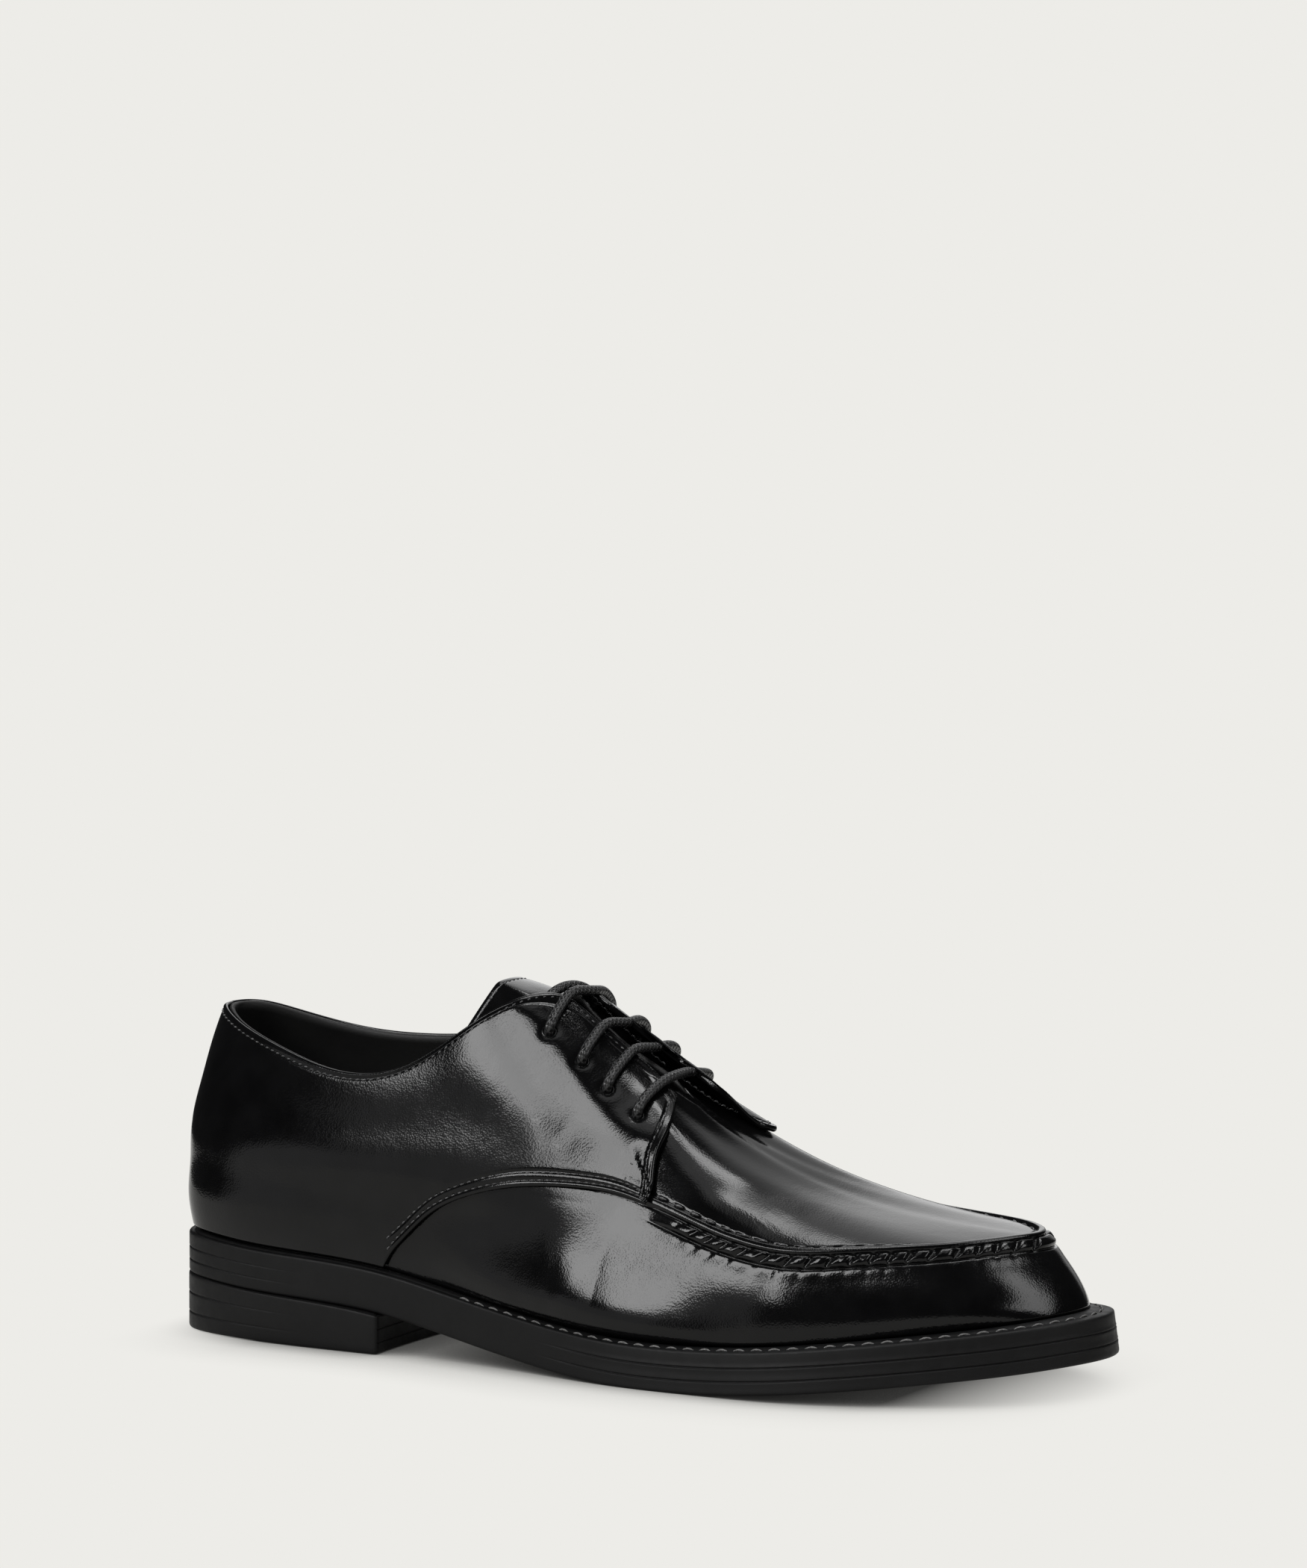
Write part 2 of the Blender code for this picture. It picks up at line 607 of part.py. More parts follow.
def main():
    for item in list(bpy.data.objects):
        bpy.data.objects.remove(item)
    parts = bpy.data.collections.new("lace_up_shoe")
    cuts = bpy.data.collections.new("cutters")
    bpy.context.scene.collection.children.link(parts)
    bpy.context.scene.collection.children.link(cuts)
    leather = material("black_leather", LEATHER, 0.2)
    rubber = material("black_rubber", RUBBER, 0.6)
    lining = material("black_lining", LINING, 0.6)
    cord = material("waxed_cord", CORD, 0.5)

    depth = 0.0
    for name, thick in (("welt", WELT_THICK), ("midsole", MIDSOLE_THICK), ("outsole", OUTSOLE_THICK)):
        sole_layer(name, depth, thick, rubber, parts)
        depth += thick + GAP
    for index, name in enumerate(("heel_top_piece", "heel_lift_lower", "heel_lift_upper")):
        heel_lift(name, index, rubber, parts)
    insole(lining, parts)

    shell = upper(leather, parts)
    for name, side in (("quarter_lateral", -1.0), ("quarter_medial", 1.0)):
        punches = [eyelet_cutter(side, index, cuts) for index in range(len(EYELETS))]
        quarter(name, side, leather, parts, punches)
        for punch in punches:
            hole = shell.modifiers.new(punch.name, "BOOLEAN")
            hole.operation = "DIFFERENCE"
            hole.object = punch
    tongue(leather, parts)
    for index in range(len(EYELETS)):
        lace_bar(index, cord, parts)


main()
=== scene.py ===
"""Lace-up shoe with an apron toe: finished leather, sole, laces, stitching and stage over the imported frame.

Tables are in millimetres of the shoe's own drawing, and metres() moves them to the frame.
Every closed line round the shoe is a function of one angle: 0 at the toe tip,
+-180 degrees at the back of the heel, negative on the outer (lateral) side.
"""
import math

import bpy
import numpy as np
from bpy.props import FloatProperty, FloatVectorProperty, PointerProperty
from mathutils import Matrix, Vector


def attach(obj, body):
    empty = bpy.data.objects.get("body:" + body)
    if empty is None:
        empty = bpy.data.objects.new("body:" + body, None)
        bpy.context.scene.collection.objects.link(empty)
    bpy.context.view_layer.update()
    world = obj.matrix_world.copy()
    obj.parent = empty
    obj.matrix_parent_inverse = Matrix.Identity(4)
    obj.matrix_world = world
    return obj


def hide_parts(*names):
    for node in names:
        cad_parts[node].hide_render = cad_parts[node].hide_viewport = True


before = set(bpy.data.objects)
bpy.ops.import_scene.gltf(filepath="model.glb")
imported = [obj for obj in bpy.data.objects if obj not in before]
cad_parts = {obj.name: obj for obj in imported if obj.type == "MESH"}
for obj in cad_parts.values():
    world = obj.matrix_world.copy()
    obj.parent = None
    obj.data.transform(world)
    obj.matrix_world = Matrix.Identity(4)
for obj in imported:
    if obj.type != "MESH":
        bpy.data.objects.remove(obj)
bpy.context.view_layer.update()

bl_info = {
    "name": "Lace-up shoe",
    "version": (1, 0, 0),
    "blender": (4, 5, 0),
    "location": "View3D > Sidebar > Shoe",
    "description": "Builds the finished pieces of an apron-toe lace-up shoe over its solid frame",
    "category": "Object",
}

MM = 0.001
PI = math.pi

# Form of the shoe, in millimetres

SOLE_LENGTH = 306.0
GAP = 0.3
ORIGIN = (0.88, 0.31, 0.0)
SOLE_DEPTH = 13.3
SOLE_FLARE = 1.8
BREAST_SHARE = 0.275
HEEL_PROUD = 2.4
HEEL_SEAT = 13.45
WALL = 1.6
QUARTER_GAP = 0.5
QUARTER_THICK = 1.3
QUARTER_FOOT = 0.035
TONGUE_THICK = 1.5
TONGUE_BEND = 0.45
LACE_EDGE = (6.5, 4.4)

SOLE_COLUMNS = ("s", "lateral", "medial", "height")
SOLE_ROWS = (
    (0.00, 0.0, 0.0, 31.2),
    (0.02, 23.0, 21.5, 30.9),
    (0.06, 30.9, 31.0, 30.0),
    (0.12, 35.1, 35.6, 28.6),
    (0.20, 37.1, 36.6, 27.4),
    (0.28, 37.6, 35.5, 24.9),
    (0.36, 39.5, 34.0, 20.3),
    (0.45, 44.2, 36.5, 15.9),
    (0.55, 50.7, 44.0, 13.2),
    (0.65, 53.1, 51.0, 13.2),
    (0.73, 53.2, 54.0, 15.0),
    (0.80, 48.6, 52.5, 17.2),
    (0.88, 38.1, 45.5, 19.9),
    (0.94, 26.1, 35.0, 22.0),
    (0.98, 13.0, 22.5, 23.6),
    (1.00, -4.8, 4.8, 24.3),
)

MARGIN_COLUMNS = ("s", "margin")
MARGIN_ROWS = (
    (0.00, 3.4), (0.20, 3.2), (0.36, 3.3), (0.50, 3.8),
    (0.65, 4.9), (0.73, 6.3), (0.80, 6.9), (0.94, 6.9), (1.00, 7.0),
)

SEAM_COLUMNS = ("s", "x", "lateral", "medial", "z_lateral", "z_medial", "lean", "swell", "sag")
SEAM_ROWS = (
    (0.00, -152.9, 0.0, 0.0, 64.0, 64.0, 0.2, 1.6, -0.05),
    (0.02, -145.7, 19.6, 19.3, 63.5, 63.5, 0.2, 1.6, -0.05),
    (0.06, -132.2, 27.6, 27.4, 62.0, 62.0, 0.3, 1.6, -0.05),
    (0.12, -113.5, 32.5, 32.2, 60.0, 60.5, 0.5, 1.6, -0.08),
    (0.20, -90.0, 35.6, 34.4, 58.0, 59.5, 0.7, 1.6, -0.10),
    (0.28, -68.5, 36.8, 34.2, 57.0, 59.5, 0.9, 1.6, -0.12),
    (0.36, -46.0, 37.6, 33.6, 57.0, 60.5, 0.9, 1.6, -0.14),
    (0.45, -17.6, 37.5, 33.0, 56.8, 63.4, 0.6, 1.2, -0.14),
    (0.55, 15.2, 34.9, 33.2, 53.9, 65.4, 0.75, 0.3, -0.06),
    (0.65, 45.2, 39.0, 34.6, 45.85, 56.3, 1.05, 0.1, 0.04),
    (0.73, 69.0, 40.2, 36.0, 41.95, 48.7, 1.3, 0.1, 0.16),
    (0.80, 86.9, 34.3, 34.6, 42.3, 46.3, 1.3, 0.2, 0.30),
    (0.88, 108.5, 22.3, 29.6, 43.6, 45.6, 1.3, 0.6, 0.53),
    (0.94, 121.0, 9.4, 22.6, 44.4, 45.7, 0.9, 0.8, 0.66),
    (0.98, 128.2, -1.0, 15.2, 45.0, 45.5, 0.4, 0.7, 0.73),
    (1.00, 130.4, -8.0, 8.0, 45.2, 45.2, 0.4, 0.7, 0.75),
)

TOP_COLUMNS = ("s", "x", "lateral", "medial", "z_lateral", "z_medial")
TOP_ROWS = (
    (0.00, -144.0, 0.0, 0.0, 100.2, 100.2),
    (0.02, -139.0, 10.8, 10.8, 99.2, 99.4),
    (0.06, -127.8, 18.6, 18.0, 95.0, 95.6),
    (0.12, -109.5, 24.9, 23.6, 89.4, 91.3),
    (0.20, -88.0, 28.7, 26.4, 84.6, 90.2),
    (0.28, -69.0, 28.9, 26.6, 86.0, 92.2),
    (0.36, -53.5, 26.2, 24.6, 94.0, 98.0),
    (0.45, -38.5, 20.4, 19.0, 104.6, 105.8),
    (0.55, -26.5, 10.5, 8.8, 110.2, 109.0),
    (0.65, -18.0, 5.6, 3.6, 106.6, 104.2),
    (0.73, -11.0, 5.0, 3.1, 101.5, 98.7),
    (0.80, -4.5, 4.8, 3.1, 96.9, 94.0),
    (0.88, 3.5, 4.7, 3.5, 91.0, 89.3),
    (0.94, 10.0, 4.4, 3.5, 86.0, 85.4),
    (0.98, 15.0, 2.6, 2.0, 82.4, 81.8),
    (1.00, 16.8, 0.0, 0.0, 81.0, 81.0),
)

QUARTER_LOWER = (
    (117.0, 0.00), (115.3, 0.20), (113.2, 0.37), (108.5, 0.67), (102.5, 0.864),
    (97.4, 0.947), (91.6, 0.980), (85.8, 0.986), (81.8, 0.975),
)
QUARTER_FRONT = (
    (81.8, 0.975), (78.6, 1.16), (73.3, 1.347), (64.6, 1.56), (50.0, 1.79), (40.0, 1.91), (36.0, 1.985),
)
# The inner quarter reaches further over the apron.
QUARTER_FRONT_MEDIAL = (
    (81.8, 0.975), (75.5, 1.16), (67.0, 1.347), (56.5, 1.54), (51.0, 1.66), (43.5, 1.80), (38.0, 1.92),
    (35.0, 1.985),
)
EYELETS = ((87.6, 1.760), (83.2, 1.623), (79.8, 1.526), (74.7, 1.474))

TONGUE_COLUMNS = ("x", "z", "half", "drop", "tilt")
TONGUE_ROWS = (
    (26.0, 70.4, 14.0, 5.0, 36.0),
    (14.0, 78.6, 17.0, 7.0, 37.0),
    (0.0, 89.6, 19.0, 9.5, 37.0),
    (-15.0, 101.2, 20.0, 13.0, 35.0),
    (-31.5, 109.5, 20.6, 14.0, 30.0),
    (-45.0, 113.3, 18.5, 21.0, 26.0),
)


def column(rows, names, name):
    """One named column of a table as an array."""
    return np.array([row[names.index(name)] for row in rows], float)


def spline(knots, values):
    """Natural cubic spline through values[k] at the knots, as a function; values may hold arrays."""
    k = np.asarray(knots, float)
    v = np.asarray(values, float)
    n = len(k)
    h = np.diff(k)
    inner = np.arange(1, n - 1)
    band = np.zeros((n, n))
    band[0, 0] = band[-1, -1] = 1.0
    band[inner, inner - 1] = h[:-1]
    band[inner, inner] = 2.0 * (h[:-1] + h[1:])
    band[inner, inner + 1] = h[1:]
    slope = np.diff(v, axis=0) / h.reshape((-1,) + (1,) * (v.ndim - 1))
    bend = np.zeros_like(v)
    bend[1:-1] = 6.0 * np.diff(slope, axis=0)
    m = np.linalg.solve(band, bend.reshape(n, -1)).reshape(v.shape)

    def at(x):
        x = np.asarray(x, float)
        j = np.clip(np.searchsorted(k, x) - 1, 0, n - 2)
        w = h[j]
        p = (k[j + 1] - x) / w
        q = (x - k[j]) / w
        if v.ndim > 1:
            p, q, w = p[..., None], q[..., None], w[..., None]
        return p * v[j] + q * v[j + 1] + ((p**3 - p) * m[j] + (q**3 - q) * m[j + 1]) * w**2 / 6.0

    return at


def ring(share, values, odd=False):
    """Function of the angle round the shoe, mirrored about toe and heel with the given sign."""
    angle = np.arccos(2.0 * np.asarray(share, float) - 1.0)[::-1]
    v = np.asarray(values, float)[::-1]
    sign = -1.0 if odd else 1.0
    knots = np.concatenate([-angle[1:][::-1], angle, 2.0 * PI - angle[:-1][::-1]])
    level = np.concatenate([sign * v[1:][::-1], v, sign * v[:-1][::-1]])
    at = spline(knots, level)
    return lambda a: at((np.asarray(a, float) + PI) % (2.0 * PI) - PI)


def sides(rows, names, lateral, medial, sign):
    """Sum of an even and an odd ring from a lateral and a medial column."""
    share = column(rows, names, "s")
    a = sign * column(rows, names, lateral)
    b = column(rows, names, medial)
    half = (b - a) / 2.0
    half[0] = half[-1] = 0.0
    even = ring(share, (a + b) / 2.0)
    odd = ring(share, half, odd=True)
    return lambda angle: even(angle) + odd(angle)


def loop(rows, names):
    """Closed line round the shoe from a table with x, two half widths and two heights."""
    x = ring(column(rows, names, "s"), column(rows, names, "x"))
    y = sides(rows, names, "lateral", "medial", -1.0)
    z = sides(rows, names, "z_lateral", "z_medial", 1.0)
    return lambda angle: np.stack([x(angle), y(angle), z(angle)], -1)


sole_side = sides(SOLE_ROWS, SOLE_COLUMNS, "lateral", "medial", -1.0)
sole_height = ring(column(SOLE_ROWS, SOLE_COLUMNS, "s"), column(SOLE_ROWS, SOLE_COLUMNS, "height"))
welt_margin = ring(column(MARGIN_ROWS, MARGIN_COLUMNS, "s"), column(MARGIN_ROWS, MARGIN_COLUMNS, "margin"))
seam_line = loop(SEAM_ROWS, SEAM_COLUMNS)
top_line = loop(TOP_ROWS, TOP_COLUMNS)
wall_lean, wall_swell, instep_sag = (
    ring(column(SEAM_ROWS, SEAM_COLUMNS, "s"), column(SEAM_ROWS, SEAM_COLUMNS, name))
    for name in ("lean", "swell", "sag")
)


def unit(v):
    """Vectors scaled to length one."""
    return v / np.maximum(np.linalg.norm(v, axis=-1, keepdims=True), 1e-12)


def ease(low, high, x):
    """Smooth step from 0 at low to 1 at high."""
    t = np.clip((np.asarray(x, float) - low) / (high - low), 0.0, 1.0)
    return t * t * (3.0 - 2.0 * t)


def bump(x, centre, width, power=2.0):
    """Soft bump of height one: exp of minus the power of the distance over the width."""
    return np.exp(-np.abs((np.asarray(x, float) - centre) / width) ** power)


def away(angle):
    """Angle from the toe tip without its side, 0 to pi."""
    return np.abs((np.asarray(angle, float) + PI) % (2.0 * PI) - PI)


def fade(start, end, angle):
    """Smooth step from 0 at start to 1 at end, both in degrees away from the toe tip."""
    return ease(math.radians(start), math.radians(end), away(angle))


def outline(angle, inset=0.0, drop=0.0):
    """Sole outline at the welt's top, moved in by inset along its plan normal and down by drop."""
    angle = np.asarray(angle, float)

    def plan(a):
        return np.stack([SOLE_LENGTH * np.cos(a) / 2.0, sole_side(a)], -1)

    step = 1e-4
    along = unit(plan(angle + step) - plan(angle - step))
    out = np.stack([along[..., 1], -along[..., 0]], -1)
    inset = np.broadcast_to(inset, angle.shape)[..., None]
    flat = plan(angle) - out * inset
    return np.concatenate([flat, (sole_height(angle) - drop)[..., None]], -1), out


def crispness(angle):
    """1 round the apron, where wall and apron meet at an edge, to 0 along the quarters."""
    return fade(92.0, 62.0, angle)[..., None]


def last_point(angle, level):
    """Outer face of the upper: level 0 at the welt, 1 on the seam line, 2 on the top edge.

    The wall rises evenly and leans in by a mix of its share and its square, with a swell low down, which is
    the share times the square of the rest; above the seam the height is a mix of the share and its power 3.3.
    Behind the apron the levels are joined by one smooth spline.
    """
    angle, level = np.broadcast_arrays(np.asarray(angle, float), np.asarray(level, float))
    foot, out = outline(angle, welt_margin(angle), -GAP)
    seam = seam_line(angle)
    top = top_line(angle)
    lean = wall_lean(angle)[..., None]
    swell = wall_swell(angle)[..., None]
    sag = instep_sag(angle)[..., None]

    def wall(w):
        inward = (1.0 - lean) * w + lean * w * w
        point = foot + (seam - foot) * np.concatenate([inward, inward, w], -1)
        point[..., :2] += out * swell * 6.75 * w * (1.0 - w) ** 2
        return point

    def instep(t):
        rise = (1.0 - sag) * t + sag * t**3.3
        return seam + (top - seam) * np.concatenate([t, t, rise], -1)

    share = level[..., None]
    sharp = np.where(share <= 1.0, wall(np.clip(share, 0.0, 1.0)), instep(np.clip(share - 1.0, 0.0, 1.0)))
    knots = (0.0, 0.33, 0.67, 1.0, 1.33, 1.67, 2.0)
    full = np.ones_like(share)
    stack = np.stack([wall(k * full) if k <= 1.0 else instep((k - 1.0) * full) for k in knots])
    flat = stack.reshape(len(knots), -1, 3)
    weights = spline(knots, np.eye(len(knots)))(level.reshape(-1))
    smooth = np.einsum("pk,kpc->pc", weights, flat).reshape(stack.shape[1:])
    crisp = crispness(angle)
    return smooth * (1.0 - crisp) + sharp * crisp


def last_normal(angle, level):
    """Outward unit normal of the upper's outer face."""
    step = 1e-3
    angle, level = np.broadcast_arrays(np.asarray(angle, float), np.asarray(level, float))
    along = last_point(angle + step, level) - last_point(angle - step, level)
    up = last_point(angle, np.minimum(level + step, 2.0)) - last_point(angle, np.maximum(level - step, 0.0))
    return unit(np.cross(along, up))


def offset_point(angle, level, distance):
    """Point of the upper's face moved out along its normal."""
    return last_point(angle, level) + np.asarray(distance, float)[..., None] * last_normal(angle, level)


def metres(points):
    """Table millimetres to metres in the shoe's frame."""
    return (np.asarray(points, float) - ORIGIN) * MM


def over_plan(x, y, angle, level):
    """Angle and level of the upper's face over plan points (x, y), by Newton steps from a first guess."""
    step = 1e-3
    goal = np.stack([x, y], -1)
    for _ in range(12):
        here = last_point(angle, level)[..., :2]
        turn = (last_point(angle + step, level)[..., :2] - here) / step
        climb = (last_point(angle, level - step)[..., :2] - here) / -step
        miss = goal - here
        area = turn[..., 0] * climb[..., 1] - turn[..., 1] * climb[..., 0]
        angle = angle + (miss[..., 0] * climb[..., 1] - miss[..., 1] * climb[..., 0]) / area
        level = level + (turn[..., 0] * miss[..., 1] - turn[..., 1] * miss[..., 0]) / area
        level = np.clip(level, 1.0, 2.0)
    return angle, level


# Mesh helpers

def quads(index):
    """Quads of a grid of point numbers."""
    return np.stack([index[:-1, :-1], index[:-1, 1:], index[1:, 1:], index[1:, :-1]], -1).reshape(-1, 4)


def tube_grid(rows, columns, close_rows=False):
    """Quads of a rows x columns grid whose columns close, and whose rows close if asked."""
    index = np.arange(rows * columns).reshape(rows, columns)
    index = np.hstack([index, index[:, :1]])
    return quads(np.vstack([index, index[:1]]) if close_rows else index)


def ladder(points):
    """Cap of an even closed line of point numbers as cross rungs between its two halves."""
    half = len(points) // 2
    a, b = points[:half], points[::-1][:half]
    return np.stack([a[:-1], b[:-1], b[1:], a[1:]], -1)


def capped_tube(rows, columns, shift=0):
    """Quads of a tube of closed rings with a cap on both ends, all turned one way; shift turns the rungs."""
    rung = np.roll(np.arange(columns), shift)
    first, last = ladder(rung), ladder((rows - 1) * columns + rung)[:, ::-1]
    return np.concatenate([tube_grid(rows, columns), first, last])


def repeated(shape, copies):
    """Quads of one small shape for each of its copies, whose points follow one another."""
    return (shape[None] + (shape.max() + 1) * np.arange(copies)[:, None, None]).reshape(-1, 4)


def turned_out(points, faces):
    """Faces reversed where needed, so that the closed surface's signed volume is positive."""
    p = points.reshape(-1, 3)
    p = p - p.mean(axis=0)
    a, b, c, d = (p[faces[:, k]] for k in range(4))
    volume = np.einsum("ij,ij->", a, np.cross(b, c)) + np.einsum("ij,ij->", a, np.cross(c, d))
    return faces if volume > 0.0 else faces[:, ::-1]


def new_piece(name, points, faces, paints, slot, nodes=(), paint_index=None, uv=None):
    """Smooth closed mesh from points in millimetres, its faces turned out and its paints given by name.

    It rides on the shoe, and it stands for the nodes that are named.
    """
    faces = turned_out(points, faces)
    mesh = bpy.data.meshes.new(name)
    mesh.from_pydata(metres(points).reshape(-1, 3), [], faces)
    for finish in paints:
        mesh.materials.append(paint(finish))
    mesh.polygons.foreach_set("use_smooth", np.ones(len(faces), bool))
    if paint_index is not None:
        mesh.polygons.foreach_set("material_index", paint_index.astype(np.int32))
    if uv is not None:
        corner = np.empty(len(mesh.loops), np.int32)
        mesh.loops.foreach_get("vertex_index", corner)
        mesh.uv_layers.new(name="along").data.foreach_set("uv", uv.reshape(-1, 2)[corner].ravel())
    mesh.update()
    piece = bpy.data.objects.new(name, mesh)
    bpy.context.scene.collection.objects.link(piece)
    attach(piece, "root")
    if nodes:
        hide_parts(*nodes)
    return piece


def pillow(outer, inner):
    """Closed sheet from an outer and an inner grid that meet on their border: points and quads."""
    rows, columns = outer.shape[:2]
    front = np.arange(rows * columns).reshape(rows, columns)
    back = front.copy()
    middle = inner[1:-1, 1:-1]
    back[1:-1, 1:-1] = rows * columns + np.arange(middle[..., 0].size).reshape(rows - 2, columns - 2)
    points = np.concatenate([outer.reshape(-1, 3), middle.reshape(-1, 3)])
    return points, np.concatenate([quads(front), quads(back)[:, ::-1]])


def round_edge(distance, radius):
    """Share of full thickness near a rounded edge: a quarter circle over the radius."""
    return np.sqrt(np.clip(1.0 - (1.0 - np.clip(distance / radius, 0.0, 1.0)) ** 2, 0.0, 1.0))


def arc_length(path):
    """Running length along a line of points."""
    return np.concatenate([[0.0], np.cumsum(np.linalg.norm(np.diff(path, axis=0), axis=1))])


def along_path(path, values, length):
    """Values of a line of points read at given lengths along it."""
    run = arc_length(path)
    return np.stack([np.interp(length, run, values[:, k]) for k in range(values.shape[1])], -1)


def tube(path, radius, sides_count, first_side):
    """Round tube: a circle carried along the path, turned as little as possible, with flat ends.

    Returns rings of points and a UV with metres along and turns round.
    """
    path = np.asarray(path, float)
    tangent = unit(np.gradient(path, axis=0))
    side = unit(first_side - (tangent @ first_side)[:, None] * tangent)
    other = np.cross(tangent, side)
    turn = 2.0 * PI * np.arange(sides_count) / sides_count
    radius = np.broadcast_to(radius, len(path))[:, None, None]
    rings = path[:, None] + radius * (np.cos(turn)[None, :, None] * side[:, None]
                                      + np.sin(turn)[None, :, None] * other[:, None])
    run = arc_length(path)
    uv = np.stack(np.broadcast_arrays(run[:, None] * MM, turn[None, :] / (2.0 * PI)), -1)
    return rings, uv


# Grid of one stitch, and the length and radius of a stitch in millimetres: upper, needle hole, apron, welt.
STITCH_RINGS = 7
STITCH_SIDES = 6
UPPER_STITCH = (1.8, 0.27)
NEEDLE_HOLE = (0.7, 0.24)
APRON_STITCH = (3.3, 0.40)
WELT_STITCH = (4.2, 0.34)


def stitches(path, normal, pitch, length, radius, lift=0.0, lean=0.0, between=False):
    """Row of thread stitches along a path: short tapered tubes whose ends dive into the leather.

    Each has a few rings of points: the radius is the root of a parabola along the stitch,
    the height above the surface falls with the square of the way from its middle,
    and lean swings its ends sideways. Between places them half a pitch on, where the needle went in.
    """
    total = arc_length(path)[-1]
    count = max(int(total / pitch), 1)
    centre = (np.arange(max(count - between, 1)) + 0.5 + 0.5 * between) * total / count
    count = len(centre)
    way = np.linspace(-1.0, 1.0, STITCH_RINGS)
    spot = along_path(path, path, np.clip(centre[:, None] + way * length / 2.0, 0.0, total).ravel())
    spot = spot.reshape(count, STITCH_RINGS, 3)
    up = unit(along_path(path, normal, centre))[:, None]
    run = unit(spot[:, -1:] - spot[:, :1])
    cross = np.cross(up, run)
    spot = spot + up * (lift - 1.6 * radius * way[None, :, None] ** 2) + cross * (lean * way[None, :, None])
    thick = radius * np.sqrt(np.clip(1.06 - way**2, 0.04, 1.0))[None, :, None, None]
    turn = 2.0 * PI * np.arange(STITCH_SIDES) / STITCH_SIDES
    rings = spot[:, :, None] + thick * (np.cos(turn)[None, None, :, None] * up[:, :, None]
                                        + np.sin(turn)[None, None, :, None] * cross[:, :, None])
    return rings.reshape(count, -1, 3)


def stitch_mesh(rows):
    """All stitch rows as one mesh: points and quads, with end caps."""
    points = np.concatenate(rows)
    return points.reshape(-1, 3), repeated(capped_tube(STITCH_RINGS, STITCH_SIDES), len(points))


# User values

class ShoeSizes(bpy.types.PropertyGroup):
    """Sizes of the finish that can be changed without touching the form."""

    gather_pitch: FloatProperty(name="Gather pitch", description="Distance between pleats of the apron seam",
                                default=0.0062, min=0.003, max=0.015, unit="LENGTH")
    gather_depth: FloatProperty(name="Gather depth", description="Depth of the pleats of the apron seam",
                                default=0.0013, min=0.0, max=0.003, unit="LENGTH")
    lip_height: FloatProperty(name="Lip height", description="Height of the apron's raised edge",
                              default=0.0010, min=0.0, max=0.003, unit="LENGTH")
    stitch_pitch: FloatProperty(name="Stitch pitch", description="Distance between stitches of the upper",
                                default=0.0025, min=0.0015, max=0.006, unit="LENGTH")
    welt_pitch: FloatProperty(name="Welt stitch pitch", description="Distance between stitches of the welt",
                              default=0.0056, min=0.003, max=0.012, unit="LENGTH")
    lace_diameter: FloatProperty(name="Lace diameter", description="Thickness of the round lace",
                                 default=0.0031, min=0.002, max=0.004, unit="LENGTH")


PLAIN_COLOUR = {"size": 3, "min": 0.0, "max": 1.0, "subtype": "COLOR"}


class ShoeColours(bpy.types.PropertyGroup):
    """Colours of the shoe and its stage."""

    leather: FloatVectorProperty(name="Leather", description="Colour under the polish of the upper",
                                 default=(0.0016, 0.0016, 0.0017), **PLAIN_COLOUR)
    lining: FloatVectorProperty(name="Lining", description="Colour of lining and insole",
                                default=(0.0022, 0.0021, 0.002), **PLAIN_COLOUR)
    rubber: FloatVectorProperty(name="Rubber", description="Colour of sole and heel",
                                default=(0.0024, 0.0024, 0.0025), **PLAIN_COLOUR)
    # The upper's thread is black; the grey here is a painted sheen that makes its stitches read as light
    # dashes.
    thread: FloatVectorProperty(name="Thread", description="Colour of the stitching on the upper",
                                default=(0.034, 0.034, 0.035), **PLAIN_COLOUR)
    welt_thread: FloatVectorProperty(name="Welt thread", description="Colour of the stitching on the welt",
                                     default=(0.075, 0.074, 0.073), **PLAIN_COLOUR)
    cord: FloatVectorProperty(name="Lace", description="Colour of the waxed lace",
                              default=(0.0045, 0.0045, 0.0048), **PLAIN_COLOUR)
    floor: FloatVectorProperty(name="Floor", description="Colour of floor and backdrop",
                               default=(0.847, 0.839, 0.807), **PLAIN_COLOUR)


def sizes():
    """The user's sizes in millimetres, by name."""
    group = bpy.context.scene.shoe_sizes
    return {name: getattr(group, name) / MM for name in ShoeSizes.__annotations__}


def colour(name):
    """One of the user's colours with full alpha."""
    return (*getattr(bpy.context.scene.shoe_colours, name), 1.0)


# Materials

class Nodes:
    """Short way to add and join the nodes of one tree."""

    def __init__(self, tree):
        self.tree = tree

    def add(self, kind, **settings):
        """New node; a setting is an input by name or, where there is none, a property of the node."""
        node = self.tree.nodes.new(kind)
        for key, value in settings.items():
            socket = key.replace("_", " ")
            if socket in node.inputs:
                node.inputs[socket].default_value = value
            else:
                setattr(node, key, value)
        return node

    def join(self, source, target):
        """Link from an output to an input."""
        self.tree.links.new(source, target)

    def spread(self, value, low, high, start=0.0, end=1.0, curve="LINEAR"):
        """Value from the span low..high to the span start..end, held at its ends."""
        node = self.add("ShaderNodeMapRange", interpolation_type=curve)
        for key, number in zip(("From Min", "From Max", "To Min", "To Max"), (low, high, start, end)):
            node.inputs[key].default_value = number
        self.join(value, node.inputs["Value"])
        return node.outputs["Result"]

    def math(self, operation, a, b=0.0):
        """Result of an operation on two numbers or outputs."""
        node = self.add("ShaderNodeMath", operation=operation)
        for value, socket in zip((a, b), node.inputs):
            if isinstance(value, (int, float)):
                socket.default_value = value
            else:
                self.join(value, socket)
        return node.outputs["Value"]


